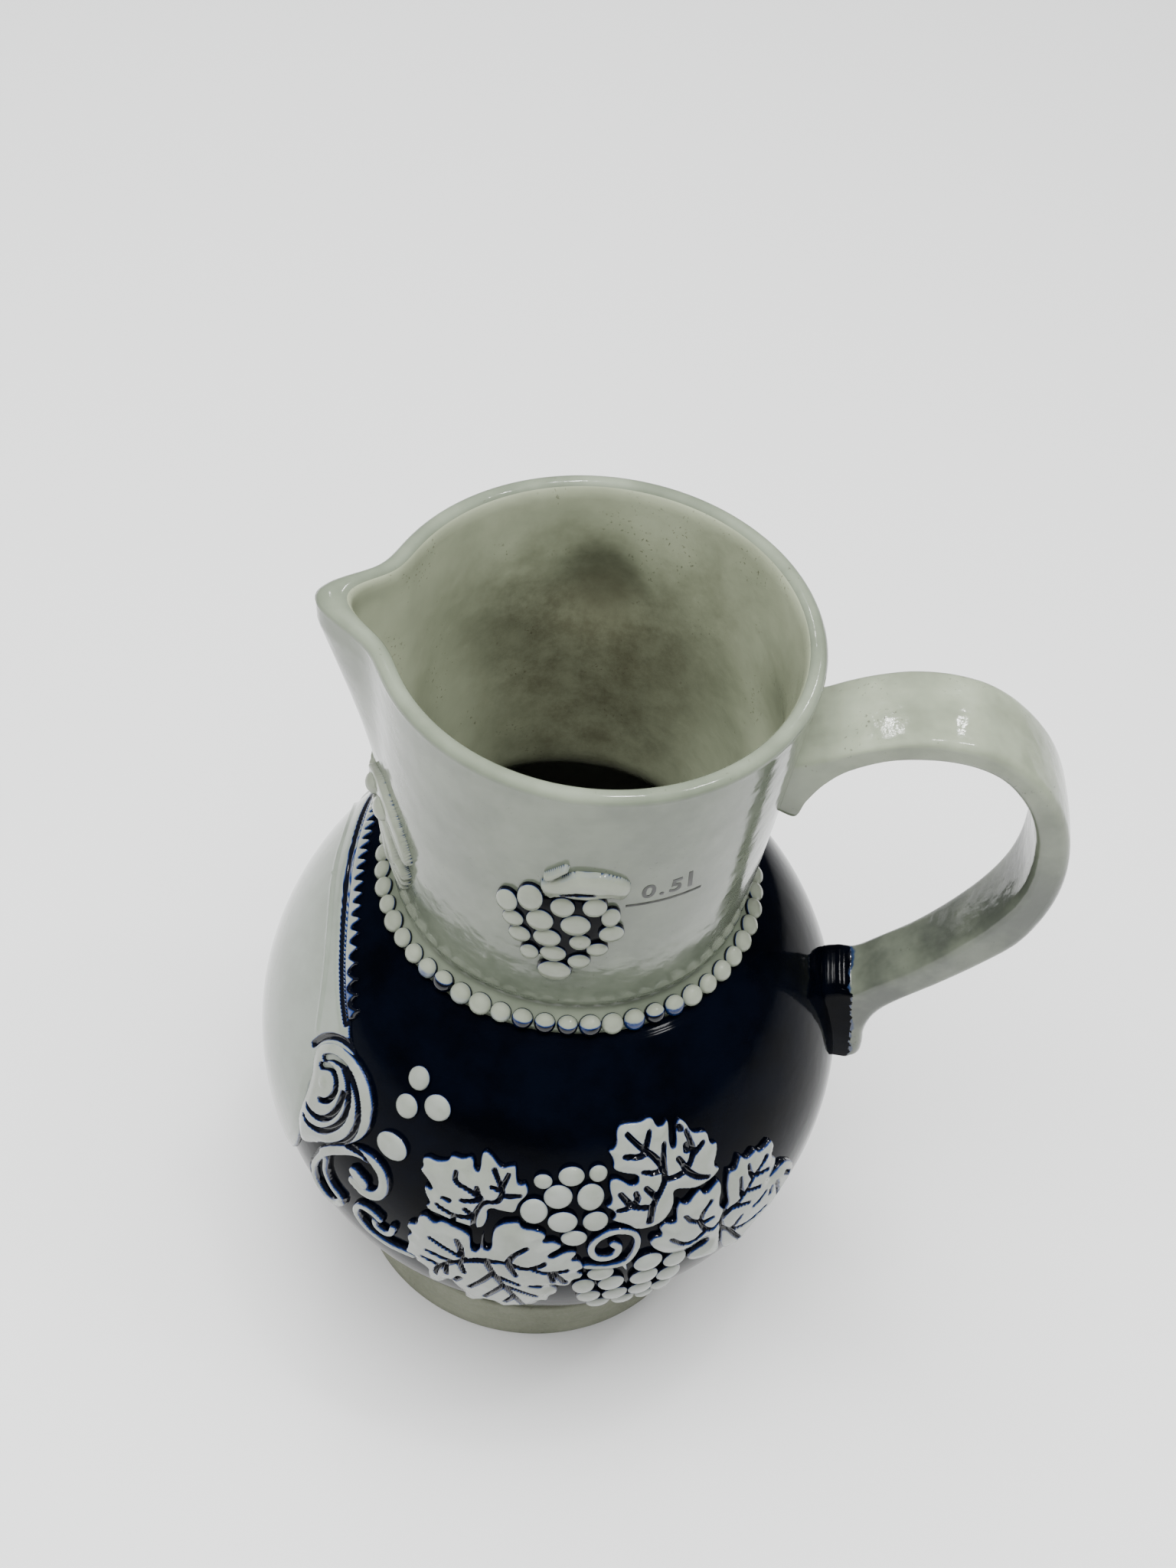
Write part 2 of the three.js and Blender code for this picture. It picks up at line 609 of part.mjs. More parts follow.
const scrolls = {
  scroll_upper: { eye: [-140, 72], turn: [190, -75], reach: [2.6, 12.2], width: 5.6, widestAt: 0.6 },
  scroll_middle: {
    eye: [-124.5, 58.8], turn: [-150, 150], reach: [1.6, 5.2], width: 2.8, widestAt: 0.6,
    tail: [[-133, 55.5], [-136.6, 49.5], [-136.8, 43]],
  },
  scroll_lower: {
    eye: [-121.8, 46.8], turn: [40, 280], reach: [1.4, 4.4], width: 2.2, widestAt: 0.6,
    tail: [[-117.4, 42.6]],
  },
  tendril: { eye: [-73.6, 59.6], turn: [-100, 240], reach: [1.2, 4.4], width: 1.7, widestAt: 0.7 },
};

function makeScrolls(side) {
  for (const [name, scroll] of Object.entries(scrolls)) {
    const geometry = band(bellySides[side], volute(scroll), scroll.widestAt, scroll.width, 15);
    addPiece(`${name}_${side}`, geometry, reliefGlaze);
  }
}

// Shield-shaped front panel under the lip, and the pinked edging that follows its arched top
const PANEL_HALF_ANGLE = 33;
const PANEL_TOP = 94;
const PANEL_TOP_FALL = 7;
const PANEL_WAIST = 52;
const PANEL_DEPTH = 30;
const EDGING_HALF_ANGLE = 37;
const EDGING_GROOVE = 0.9;
const EDGING_WIDTH = 1.3;
const EDGING_TOOTH = 2;
const EDGING_TEETH = 20;

const panelTopAt = (degree) => PANEL_TOP - PANEL_TOP_FALL * (degree / PANEL_HALF_ANGLE) ** 2;

// Plate over a grid of drawing places: each column runs from its foot to its head
function gridPlate(columns, rows, lift) {
  const top = columns.map(({ degree, foot, head }) => {
    const column = [];
    for (let j = 0; j <= rows; j++) {
      column.push([180 + degree, THREE.MathUtils.lerp(foot, head, j / rows)]);
    }
    return column;
  });
  const points = [];
  for (const height of [lift, CLEARANCE]) {
    top.flat().forEach(([degree, percent]) => points.push(onBelly(degree, percent, height)));
  }
  const perColumn = rows + 1;
  const under = top.length * perColumn;
  const triangles = [];
  const quad = (a, b, c, d) => triangles.push([a, b, c], [a, c, d]);
  for (let i = 0; i + 1 < top.length; i++) {
    for (let j = 0; j < rows; j++) {
      const a = i * perColumn + j;
      const b = a + perColumn;
      quad(a, b, b + 1, a + 1);
      quad(under + a, under + a + 1, under + b + 1, under + b);
    }
    const foot = i * perColumn;
    const head = foot + rows;
    quad(under + foot, under + foot + perColumn, foot + perColumn, foot);
    quad(head, head + perColumn, under + head + perColumn, under + head);
  }
  const last = (top.length - 1) * perColumn;
  for (let j = 0; j < rows; j++) {
    quad(under + j, j, j + 1, under + j + 1);
    quad(last + j, under + last + j, under + last + j + 1, last + j + 1);
  }
  return closedBody(points, triangles);
}

function makePanel() {
  const columns = [];
  const steps = 14;
  for (let i = 0; i <= steps; i++) {
    const degree = -PANEL_HALF_ANGLE * Math.cos((Math.PI * i) / steps);
    const shield = Math.sqrt(1 - (degree / (1.03 * PANEL_HALF_ANGLE)) ** 2);
    columns.push({ degree, foot: PANEL_WAIST - PANEL_DEPTH * shield, head: panelTopAt(degree) });
  }
  addPiece('panel', gridPlate(columns, 8, PANEL_LIFT), reliefGlaze);
  const teeth = [];
  for (let i = 0; i <= 2 * EDGING_TEETH; i++) {
    const degree = EDGING_HALF_ANGLE * (-1 + i / EDGING_TEETH);
    const foot = panelTopAt(degree) + EDGING_GROOVE;
    teeth.push({ degree, foot, head: foot + EDGING_WIDTH + (i % 2) * EDGING_TOOTH });
  }
  addPiece('panel_edging', gridPlate(teeth, 1, PANEL_LIFT), reliefGlaze);
}

makeFoot();
makeBelly();
makeNeck();
makeHandle();
makeBeadRing();
makePanel();
for (const side of ['near', 'far']) {
  makeScrolls(side);
  makeLooseBerries(side);
  makeLeaves(side);
  makeGrapes(side);
  makeNeckGrapes(side);
}
makeNeckSprig();

export default jug;
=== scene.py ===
import math

import bmesh
import bpy
import numpy as np
from mathutils import Matrix, Vector


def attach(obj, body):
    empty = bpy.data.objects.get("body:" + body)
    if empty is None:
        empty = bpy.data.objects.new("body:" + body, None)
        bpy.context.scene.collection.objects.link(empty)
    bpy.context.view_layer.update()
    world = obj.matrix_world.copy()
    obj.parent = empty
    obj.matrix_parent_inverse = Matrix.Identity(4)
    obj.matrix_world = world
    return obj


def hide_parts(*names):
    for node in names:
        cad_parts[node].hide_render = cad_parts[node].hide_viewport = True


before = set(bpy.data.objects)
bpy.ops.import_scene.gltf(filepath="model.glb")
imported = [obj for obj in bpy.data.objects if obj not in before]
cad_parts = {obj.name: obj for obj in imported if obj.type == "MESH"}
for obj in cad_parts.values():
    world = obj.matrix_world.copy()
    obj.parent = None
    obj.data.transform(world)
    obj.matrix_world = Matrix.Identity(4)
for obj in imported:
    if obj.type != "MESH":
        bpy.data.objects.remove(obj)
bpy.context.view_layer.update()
mm = 0.001
scene = bpy.context.scene
print("jug: frame loaded,", len(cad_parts), "nodes")


def addObject(name, data):
    thing = bpy.data.objects.new(name, data)
    scene.collection.objects.link(thing)
    return thing


def meshOf(holder):
    # the finished mesh of a helper object, which then goes
    mesh = bpy.data.meshes.new_from_object(holder.evaluated_get(bpy.context.evaluated_depsgraph_get()))
    bpy.data.objects.remove(holder)
    return mesh


# Camera at the photograph's place

view = {"place": (-6.75, -246.1, 401.5), "elevation": 48.77, "azimuth": -1.83, "roll": 7.38,
        "lens": 54.07, "sensor": 36, "nearest": 0.01}


def makeCamera(v):
    e, a, r = (math.radians(v[key]) for key in ("elevation", "azimuth", "roll"))
    back = Vector((math.sin(a) * math.cos(e), -math.cos(a) * math.cos(e), math.sin(e)))
    level = (-back).cross(Vector((0, 0, 1))).normalized()
    upright = level.cross(-back)
    right = math.cos(r) * level + math.sin(r) * upright
    up = -math.sin(r) * level + math.cos(r) * upright
    data = bpy.data.cameras.new("jugCamera")
    data.lens, data.sensor_width, data.clip_start = v["lens"], v["sensor"], v["nearest"]
    camera = addObject("jugCamera", data)
    turn = Matrix((right, up, back)).transposed().to_4x4()
    camera.matrix_world = Matrix.Translation(Vector(v["place"]) * mm) @ turn
    scene.camera = camera


makeCamera(view)
print("jug: camera set")


# Node helpers

def put(tree, kind, **values):
    node = tree.nodes.new(kind)
    for key, value in values.items():
        setattr(node, key, value)
    return node


def feed(tree, node, **sources):
    # a link where the value is a socket, a set value otherwise
    # names are sockets with _ for space, or n with the socket's number
    for key, value in sources.items():
        numbered = key[0] == "n" and key[1:].isdigit()
        socket = node.inputs[int(key[1:]) if numbered else key.replace("_", " ")]
        if isinstance(value, bpy.types.NodeSocket):
            tree.links.new(value, socket)
        else:
            socket.default_value = value
    return node


def noise(tree, where, size, detail=3.0, rough=0.5):
    node = put(tree, "ShaderNodeTexNoise")
    return feed(tree, node, Vector=where, Scale=size, Detail=detail, Roughness=rough).outputs["Fac"]


def fade(tree, value, low, high, outLow=0.0, outHigh=1.0):
    node = put(tree, "ShaderNodeMapRange", interpolation_type="SMOOTHSTEP")
    feed(tree, node, Value=value, From_Min=low, From_Max=high, To_Min=outLow, To_Max=outHigh)
    return node.outputs["Result"]


def band(tree, value, limits, *ends):
    # a fade between two places on the jug, given in mm
    return fade(tree, value, limits[0] * mm, limits[1] * mm, *ends)


def maths(tree, operation, first, second=0.0, third=0.0):
    node = put(tree, "ShaderNodeMath", operation=operation)
    return feed(tree, node, n0=first, n1=second, n2=third).outputs[0]


def blendColour(tree, amount, first, second):
    node = put(tree, "ShaderNodeMix", data_type="RGBA")
    feed(tree, node, n0=amount, n6=first, n7=second)
    return node.outputs[2]


def ramp(tree, value, stops):
    node = put(tree, "ShaderNodeValToRGB")
    tree.links.new(value, node.inputs[0])
    elements = node.color_ramp.elements
    while len(elements) < len(stops):
        elements.new(1.0)
    for element, (place, colour) in zip(elements, stops):
        element.position, element.color = place, colour
    return node.outputs[0]


scalar, vector = "NodeSocketFloat", "NodeSocketVector"


def newGroup(name, inputs, outputs):
    tree = bpy.data.node_groups.new(name, "ShaderNodeTree")
    for label, kind, value in inputs:
        socket = tree.interface.new_socket(label, in_out="INPUT", socket_type=kind)
        if value is not None:
            socket.default_value = value
    for label, kind in outputs:
        tree.interface.new_socket(label, in_out="OUTPUT", socket_type=kind)
    return tree, put(tree, "NodeGroupInput"), put(tree, "NodeGroupOutput")


# Shared effects: the fired skin of a salt glaze, and iron specks in the clay

def makeSkinGroup():
    tree, ins, outs = newGroup(
        "glazeSkin", (("Where", vector, None), ("Dull", scalar, 0.16), ("Mottle", scalar, 70.0)),
        (("Cloud", scalar), ("Roughness", scalar), ("Height", scalar)))
    where = ins.outputs["Where"]
    cloud = noise(tree, where, ins.outputs["Mottle"], 4.0, 0.6)
    ripple = noise(tree, where, 150.0, 2.0)           # slow flow of the melt, about 7 mm
    peel = noise(tree, where, 900.0, 2.0)             # orange peel, about 1 mm
    shine = maths(tree, "MULTIPLY_ADD", noise(tree, where, 260.0, 3.0), 0.14, -0.07)
    feed(tree, outs, Cloud=fade(tree, cloud, 0.3, 0.7),
         Roughness=maths(tree, "ADD", shine, ins.outputs["Dull"]),
         Height=maths(tree, "MULTIPLY_ADD", peel, 0.12, ripple))
    return tree


def makeSpeckGroup():
    tree, ins, outs = newGroup(
        "ironSpecks", (("Where", vector, None), ("Size", scalar, 620.0), ("Amount", scalar, 0.16)),
        (("Mask", scalar),))
    where = ins.outputs["Where"]
    crumble = feed(tree, put(tree, "ShaderNodeTexNoise"), Vector=where, Scale=900.0, Detail=2.0)
    ragged = put(tree, "ShaderNodeVectorMath", operation="MULTIPLY_ADD")   # breaks the dots' round edges
    feed(tree, ragged, n0=crumble.outputs["Color"], n1=(0.0016, 0.0016, 0.0016), n2=where)
    cells = feed(tree, put(tree, "ShaderNodeTexVoronoi"), Vector=ragged.outputs[0], Scale=ins.outputs["Size"])
    patch = fade(tree, noise(tree, where, 120.0, 2.0), 0.52, 0.66)
    dots = fade(tree, cells.outputs["Distance"], ins.outputs["Amount"], 0.0)
    feed(tree, outs, Mask=maths(tree, "MULTIPLY", dots, patch))
    return tree


skinGroup, speckGroup = makeSkinGroup(), makeSpeckGroup()


def newFinish(name):
    material = bpy.data.materials.new(name)
    material.use_nodes = True
    tree = material.node_tree
    shader = next(n for n in tree.nodes if n.type == "BSDF_PRINCIPLED")
    where = put(tree, "ShaderNodeTexCoord").outputs["Object"]
    return material, tree, shader, where


def useGroup(tree, group, **sources):
    node = put(tree, "ShaderNodeGroup")
    node.node_tree = group
    return feed(tree, node, **sources)


def axesOf(tree, where):
    return feed(tree, put(tree, "ShaderNodeSeparateXYZ"), Vector=where).outputs


def bumpTo(tree, shader, height, distance):
    node = feed(tree, put(tree, "ShaderNodeBump"), Height=height, Distance=distance, Strength=1.0)
    tree.links.new(node.outputs["Normal"], shader.inputs["Normal"])


# Finishes

greys = {"pale": (0.141, 0.161, 0.121, 1), "deep": (0.09, 0.105, 0.077, 1), "speck": (0.03, 0.024, 0.017, 1),
         "dull": 0.12, "peel": 0.00018}
# the handle has the neck's grey glaze, painted paler here as painted light on its top
strapsPaintedLightAndShade = {**greys, "pale": (0.196, 0.22, 0.163, 1), "deep": (0.112, 0.127, 0.092, 1),
          # the pool colour is painted shade for the lower strap, mixed with darker patches of glaze
          "poolAndShade": (0.056, 0.063, 0.051, 1), "gloss": 0.45, "pits": 0.24, "peel": 0.0003}
insides = {"pale": (0.236, 0.26, 0.182, 1), "deep": (0.178, 0.198, 0.135, 1), "dull": 0.2, "peel": 0.0002,
           # the stain colour serves as a brown stain and as painted shade
           "stainAndShade": (0.054, 0.055, 0.035, 1), "speck": (0.03, 0.022, 0.014, 1),
           # dark is painted shade: the throat and the belly's inside painted near-black
           "dark": (0.006, 0.007, 0.0065, 1)}
cobalts = {"deep": (0.0004, 0.0006, 0.0013, 1), "thin": (0.0008, 0.0014, 0.0036, 1),
           "edge": (0.012, 0.028, 0.075, 1), "dull": 0.09, "peel": 0.00007, "gloss": 0.03}
reliefs = {"poolAndShade": (0.0008, 0.0012, 0.0035, 1), "blue": (0.005, 0.018, 0.09, 1),
           "mist": (0.13, 0.155, 0.175, 1), "crest": (0.20, 0.216, 0.196, 1), "warm": (0.16, 0.175, 0.146, 1),
           "dull": 0.1, "peel": 0.00006, "gloss": 0.45}
panels = {**reliefs, "crest": (0.174, 0.196, 0.168, 1), "warm": (0.15, 0.17, 0.141, 1)}
neckReliefs = {**reliefs, "blue": (0.005, 0.019, 0.085, 1), "crest": (0.205, 0.225, 0.178, 1),
               "warm": (0.165, 0.182, 0.14, 1)}
clays = {"pale": (0.19, 0.2, 0.148, 1), "deep": (0.148, 0.156, 0.113, 1), "grit": (0.06, 0.054, 0.038, 1),
         "peel": 0.00012}

# Places in mm: the handle's lower end, dipped in cobalt, with painted shade over its lower strap, and the
# stains and painted shade inside the neck
dip = {"line": 49.9, "wash": 51.8, "height": 80.0, "slant": 0.14, "top": 92, "soft": 3, "waver": 4,
       # pooled gives the heights of the painted shade on the lower strap
       "spill": (1.2, -0.8), "pooledAndShaded": (140, 108)}
# inside the neck: a brown stain that is partly painted shade, painted shade in the pressed hollow, and
# painted shade below the throat
stainsAndShade = {"tide": (175, 146), "ragged": 35, "farSide": (12, 27), "hollow": (1, 28, 135), "hollowShade": (9, 2),
          "throat": (99.5, 95.5)}


def fired(material, tree, shader, skin, colour, tones):
    feed(tree, shader, Base_Color=colour, Roughness=skin.outputs["Roughness"])
    shader.inputs["Specular IOR Level"].default_value = tones.get("gloss", 0.5)
    bumpTo(tree, shader, skin.outputs["Height"], tones["peel"])
    return material


def speckled(tree, specks, much, colour, speck):
    return blendColour(tree, maths(tree, "MULTIPLY", specks.outputs["Mask"], much), colour, speck)


def greyGlaze(name, tones, dipped=None):
    material, tree, shader, where = newFinish(name)
    skin = useGroup(tree, skinGroup, Where=where, Dull=tones["dull"], Mottle=55.0)
    specks = useGroup(tree, speckGroup, Where=where, Size=900.0, Amount=tones.get("pits", 0.17))
    colour = blendColour(tree, skin.outputs["Cloud"], tones["pale"], tones["deep"])
    colour = speckled(tree, specks, 0.8, colour, tones["speck"])
    if dipped:
        # the dipped lower end: painted shade over the lower strap, where the upper strap shades it, broken
        # into patches of darker glaze; then cobalt inside a wavering line, bright blue where it runs thin
        x, _, z = axesOf(tree, where)
        thick = fade(tree, noise(tree, where, 75.0, 4.0, 0.6), 0.32, 0.62, 0.6, 1.0)
        # painted shade: the lower strap darkened where the upper strap shades it
        pooledAndShaded = maths(tree, "MULTIPLY", band(tree, z, dipped["pooledAndShaded"]), thick)
        colour = blendColour(tree, pooledAndShaded, colour, tones["poolAndShade"])
        edge = maths(tree, "MULTIPLY_ADD", z, dipped["slant"], x)
        edge = maths(tree, "MULTIPLY_ADD", noise(tree, where, 160.0, 3.0), dipped["waver"] * mm, edge)
        reach = dipped["wash"] + dipped["slant"] * dipped["height"]
        low = band(tree, z, (dipped["top"], dipped["top"] - dipped["soft"]))
        tone = maths(tree, "MULTIPLY", band(tree, edge, [reach + over for over in dipped["spill"]]), low)
        wash = ramp(tree, tone, ((0.0, cobalts["thin"]), (0.35, cobalts["edge"]),
                                 (0.8, cobalts["thin"]), (1.0, cobalts["deep"])))
        colour = blendColour(tree, fade(tree, tone, 0.12, 0.4), colour, wash)
    return fired(material, tree, shader, skin, colour, tones)


def insideGlaze(tones, places):
    material, tree, shader, where = newFinish("insideGlaze")
    skin = useGroup(tree, skinGroup, Where=where, Dull=tones["dull"], Mottle=40.0)
    specks = useGroup(tree, speckGroup, Where=where, Size=1100.0, Amount=0.3)
    _, y, z = axesOf(tree, where)
    colour = blendColour(tree, skin.outputs["Cloud"], tones["pale"], tones["deep"])
    # a brown tide on the far wall, partly painted shade; painted shade in the pressed hollow; and painted
    # shade for the dark of the belly below the throat
    ragged = maths(tree, "MULTIPLY_ADD", noise(tree, where, 60.0, 5.0, 0.65), places["ragged"] * mm, z)
    blot = fade(tree, noise(tree, where, 210.0, 6.0, 0.75), 0.3, 0.75)
    # the far wall's stain, darker downwards, is partly a real brown stain and partly painted shade
    stainedAndShaded = maths(tree, "MULTIPLY", band(tree, ragged, places["tide"]),
                    maths(tree, "MULTIPLY_ADD", blot, 0.25, 0.78))
    stainedAndShaded = maths(tree, "MULTIPLY", stainedAndShaded, band(tree, y, places["farSide"], 0.06, 1.0))
    colour = blendColour(tree, stainedAndShaded, colour, tones["stainAndShade"])
    # painted shade in the pressed hollow on the far wall
    away = put(tree, "ShaderNodeVectorMath", operation="DISTANCE")
    feed(tree, away, n0=where, n1=tuple(c * mm for c in places["hollow"]))
    hollowShade = band(tree, away.outputs["Value"], places["hollowShade"], 0.0, 0.7)
    colour = blendColour(tree, hollowShade, colour, tones["stainAndShade"])
    # painted shade: the throat and the belly's inside painted near-black for the dark down the neck
    colour = blendColour(tree, band(tree, z, places["throat"]), colour, tones["dark"])
    colour = speckled(tree, specks, 0.75, colour, tones["speck"])
    return fired(material, tree, shader, skin, colour, tones)


def cobaltGlaze(tones):
    material, tree, shader, where = newFinish("cobaltGlaze")
    skin = useGroup(tree, skinGroup, Where=where, Dull=tones["dull"], Mottle=90.0)
    colour = blendColour(tree, skin.outputs["Cloud"], tones["deep"], tones["thin"])
    return fired(material, tree, shader, skin, colour, tones)


def reliefGlaze(name, tones):
    # the tone attribute runs from 0 in the pooled hollows to 1 on the crests
    material, tree, shader, where = newFinish(name)
    skin = useGroup(tree, skinGroup, Where=where, Dull=tones["dull"], Mottle=120.0)
    specks = useGroup(tree, speckGroup, Where=where, Size=700.0, Amount=0.12)
    tone = put(tree, "ShaderNodeAttribute", attribute_name="tone").outputs["Fac"]
    drift = maths(tree, "MULTIPLY_ADD", noise(tree, where, 420.0, 3.0), 0.3, -0.15)
    broken = maths(tree, "ADD", tone, drift)
    crest = blendColour(tree, skin.outputs["Cloud"], tones["crest"], tones["warm"])
    crest = speckled(tree, specks, 0.5, crest, greys["speck"])
    wash = ramp(tree, broken, ((0.0, tones["poolAndShade"]), (0.34, tones["poolAndShade"]),
                               (0.47, tones["blue"]), (0.62, tones["mist"])))
    colour = blendColour(tree, fade(tree, broken, 0.5, 0.74), wash, crest)
    return fired(material, tree, shader, skin, colour, tones)


def bareClay(tones):
    material, tree, shader, where = newFinish("bareStoneware")
    cloud = fade(tree, noise(tree, where, 60.0, 5.0, 0.65), 0.3, 0.7)
    grit = noise(tree, where, 1500.0, 2.0)
    specks = useGroup(tree, speckGroup, Where=where, Size=800.0, Amount=0.22)
    colour = blendColour(tree, cloud, tones["pale"], tones["deep"])
    colour = blendColour(tree, specks.outputs["Mask"], colour, tones["grit"])
    feed(tree, shader, Base_Color=colour, Roughness=fade(tree, grit, 0.2, 0.8, 0.62, 0.9))
    bumpTo(tree, shader, maths(tree, "ADD", grit, cloud), tones["peel"])
    return material


greyFinish = greyGlaze("greyGlaze", greys)
handleFinish = greyGlaze("handleGlaze", strapsPaintedLightAndShade, dip)
insideFinish = insideGlaze(insides, stainsAndShade)
cobaltFinish = cobaltGlaze(cobalts)
reliefFinish = reliefGlaze("reliefGlaze", reliefs)
neckReliefFinish = reliefGlaze("neckReliefGlaze", neckReliefs)
panelFinish = reliefGlaze("panelGlaze", panels)
clayFinish = bareClay(clays)
print("jug: finishes made")


# Mesh helpers

def meshFrom(name, points, faces, finishes, tone=None, finishOf=None):
    mesh = bpy.data.meshes.new(name)
    mesh.from_pydata((np.asarray(points) * mm).tolist(), [], [tuple(f) for f in faces])
    for finish in finishes:
        mesh.materials.append(finish)
    if tone is not None:
        mesh.attributes.new("tone", "FLOAT", "POINT").data.foreach_set("value", np.asarray(tone, float))
    if finishOf is not None:
        mesh.polygons.foreach_set("material_index", finishOf)
    mesh.shade_smooth()
    mesh.update()
    return addObject(name, mesh)


def settle(piece, slot, *nodes):
    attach(piece, "root")
    if nodes:
        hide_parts(*nodes)


def bezier(points, t):
    p = np.array(points, float)
    t = np.asarray(t)[:, None]
    return (1 - t) ** 3 * p[0] + 3 * (1 - t) ** 2 * t * p[1] + 3 * (1 - t) * t * t * p[2] + t ** 3 * p[3]


def smoothStep(value, low, high):
    t = np.clip((value - low) / (high - low), 0, 1)
    return t * t * (3 - 2 * t)


def rounded(points, closed=True):
    # corner cutting: each corner gives way to two points on its sides
    p = np.array(points, float)
    for _ in range(2):
        after = np.roll(p, -1, axis=0) if closed else p[1:]
        before = p if closed else p[:-1]
        cut = np.stack((before * 0.75 + after * 0.25, before * 0.25 + after * 0.75), 1)
        cut = cut.reshape(-1, p.shape[1])
        p = cut if closed else np.vstack((p[:1], cut[1:-1], p[-1:]))
    return p


def spline(points, count):
    # smooth curve through the points, evenly by point number
    p = np.array(points, float)
    ends = np.vstack((2 * p[0] - p[1], p, 2 * p[-1] - p[-2]))
    at = np.linspace(0, len(p) - 1, count)
    i = np.minimum(at.astype(int), len(p) - 2)
    t = (at - i)[:, None]
    a, b, c, d = ends[i], ends[i + 1], ends[i + 2], ends[i + 3]
    bend, twist = 2 * a - 5 * b + 4 * c - d, 3 * b - a - 3 * c + d
    return 0.5 * (2 * b + (c - a) * t + bend * t * t + twist * t ** 3)


def turned(name, outline, finishes, around, closed=True, finishOf=None):
    # outline points (r, z) run round the wall's section with the solid on the left
    outline = np.array(outline, float)
    turn = np.linspace(0, 2 * math.pi, around, endpoint=False)
    r, z = outline[:, 0], outline[:, 1]
    points = np.stack((np.cos(turn)[:, None] * r, np.sin(turn)[:, None] * r,
                       np.broadcast_to(z, (around, len(r)))), 2).reshape(-1, 3)
    piece = meshFrom(name, points, ringFaces(around, len(r), closed), finishes, finishOf=finishOf)
    if (r == 0).any():
        work = bmesh.new()
        work.from_mesh(piece.data)
        bmesh.ops.remove_doubles(work, verts=work.verts, dist=1e-7)   # closes the poles
        work.to_mesh(piece.data)
        work.free()
    return piece


def ringFaces(around, count, closed):
    i, j = np.meshgrid(np.arange(around), np.arange(count if closed else count - 1), indexing="ij")
    k, l = (i + 1) % around, (j + 1) % count
    return np.stack((i * count + j, k * count + j, k * count + l, i * count + l), 2).reshape(-1, 4)


# Belly: a thin glazed wall thrown in two sweeps

bellyDims = {"baseRadius": 32.0, "baseHeight": 10.0, "radius": 50.4, "widest": 57.0, "shoulder": 32.6,
             "top": 95.6, "wall": 4.6, "mouth": 28.9, "around": 288,
             # how far each sweep is pulled out, as shares of its width and height
             "lowOut": 0.59, "lowUp": 0.43, "lowFull": 0.39,
             "highFull": 0.5, "highOut": 0.28, "highDown": 0.03}


def bellyOutline(d):
    low, high = d["widest"] - d["baseHeight"], d["top"] - d["widest"]
    swell, slope = d["radius"] - d["baseRadius"], d["radius"] - d["shoulder"]
    t = np.linspace(0, 1, 90)
    lower = bezier(((d["baseRadius"], d["baseHeight"]),
                    (d["baseRadius"] + d["lowOut"] * swell, d["baseHeight"] + d["lowUp"] * low),
                    (d["radius"], d["widest"] - d["lowFull"] * low), (d["radius"], d["widest"])), t)
    upper = bezier(((d["radius"], d["widest"]), (d["radius"], d["widest"] + d["highFull"] * high),
                    (d["shoulder"] + d["highOut"] * slope, d["top"] - d["highDown"] * high),
                    (d["shoulder"], d["top"])), t)
    return np.vstack((lower, upper[1:]))


bellyWall = bellyOutline(bellyDims)
bellyRun = np.concatenate(([0], np.cumsum(np.hypot(*np.diff(bellyWall, axis=0).T))))
bellyPercent = bellyRun / bellyRun[-1] * 100
bellyTangent = np.gradient(bellyWall, bellyRun, axis=0)


def onBelly(deg, percent, lift):
    def at(values):
        return np.interp(percent, bellyPercent, values)

    r = at(bellyWall[:, 0]) + at(bellyTangent[:, 1]) * lift
    z = at(bellyWall[:, 1]) - at(bellyTangent[:, 0]) * lift
    turn = np.radians(deg)
    return np.stack((r * np.cos(turn), r * np.sin(turn), z), -1)


def makeBelly(d):
    inner = bellyWall - d["wall"] * np.stack((bellyTangent[:, 1], -bellyTangent[:, 0]), 1)
    inner = inner[(inner[:, 1] > d["baseHeight"] + 0.1) & (inner[:, 1] < d["top"] - 2.5)]
    inner = np.vstack(((d["baseRadius"] - d["wall"], d["baseHeight"]), inner))
    brow = ((d["shoulder"] - 0.4, d["top"] + 0.25), (d["shoulder"] - 1.1, d["top"] + 0.4),
            (d["mouth"], d["top"] + 0.4))
    outline = np.vstack((bellyWall[::2], brow, inner[::-2]))
    outer = len(outline) - len(inner[::-2])
    finishOf = np.tile(np.where(np.arange(len(outline)) < outer, 0, 1), d["around"])
    piece = turned("bellyWall", outline, (cobaltFinish, insideFinish), d["around"], finishOf=finishOf)
    settle(piece, "cobalt_glaze", "belly")


makeBelly(bellyDims)
print("jug: belly turned")


# Foot: unglazed turned ring with the floor in it

footDims = {"radius": 33.0, "height": 10.0, "floor": 5.0, "well": 27.4, "lowArris": 0.9, "highArris": 0.7,
            "side": (1.4, 8.9), "ripple": 0.12, "ripples": 2.1, "around": 192}


def makeFoot(d):
    def arris(size, height, start):
        return [(d["radius"] - size + size * math.cos(a), height + size * math.sin(a))
                for a in np.radians(np.linspace(start, start + 90, 6))]

    low = arris(d["lowArris"], d["lowArris"], -90)
    high = arris(d["highArris"], d["height"] - d["highArris"], 0)
    side = [(d["radius"] - d["ripple"] * math.sin(z * d["ripples"]), z) for z in np.linspace(*d["side"], 14)]
    well = [(d["well"], d["height"]), (d["well"], d["floor"] + 1), (d["well"] - 1, d["floor"])]
    outline = [(0, 0), (16, 0)] + low + side + high + well + [(12, d["floor"]), (0, d["floor"])]
    settle(turned("footRing", outline, (clayFinish,), d["around"], closed=False), "bare_stoneware", "foot")


makeFoot(footDims)
print("jug: foot turned")


# Neck: cone with a rolled rim and a pulled lip, hollows pressed in behind the relief

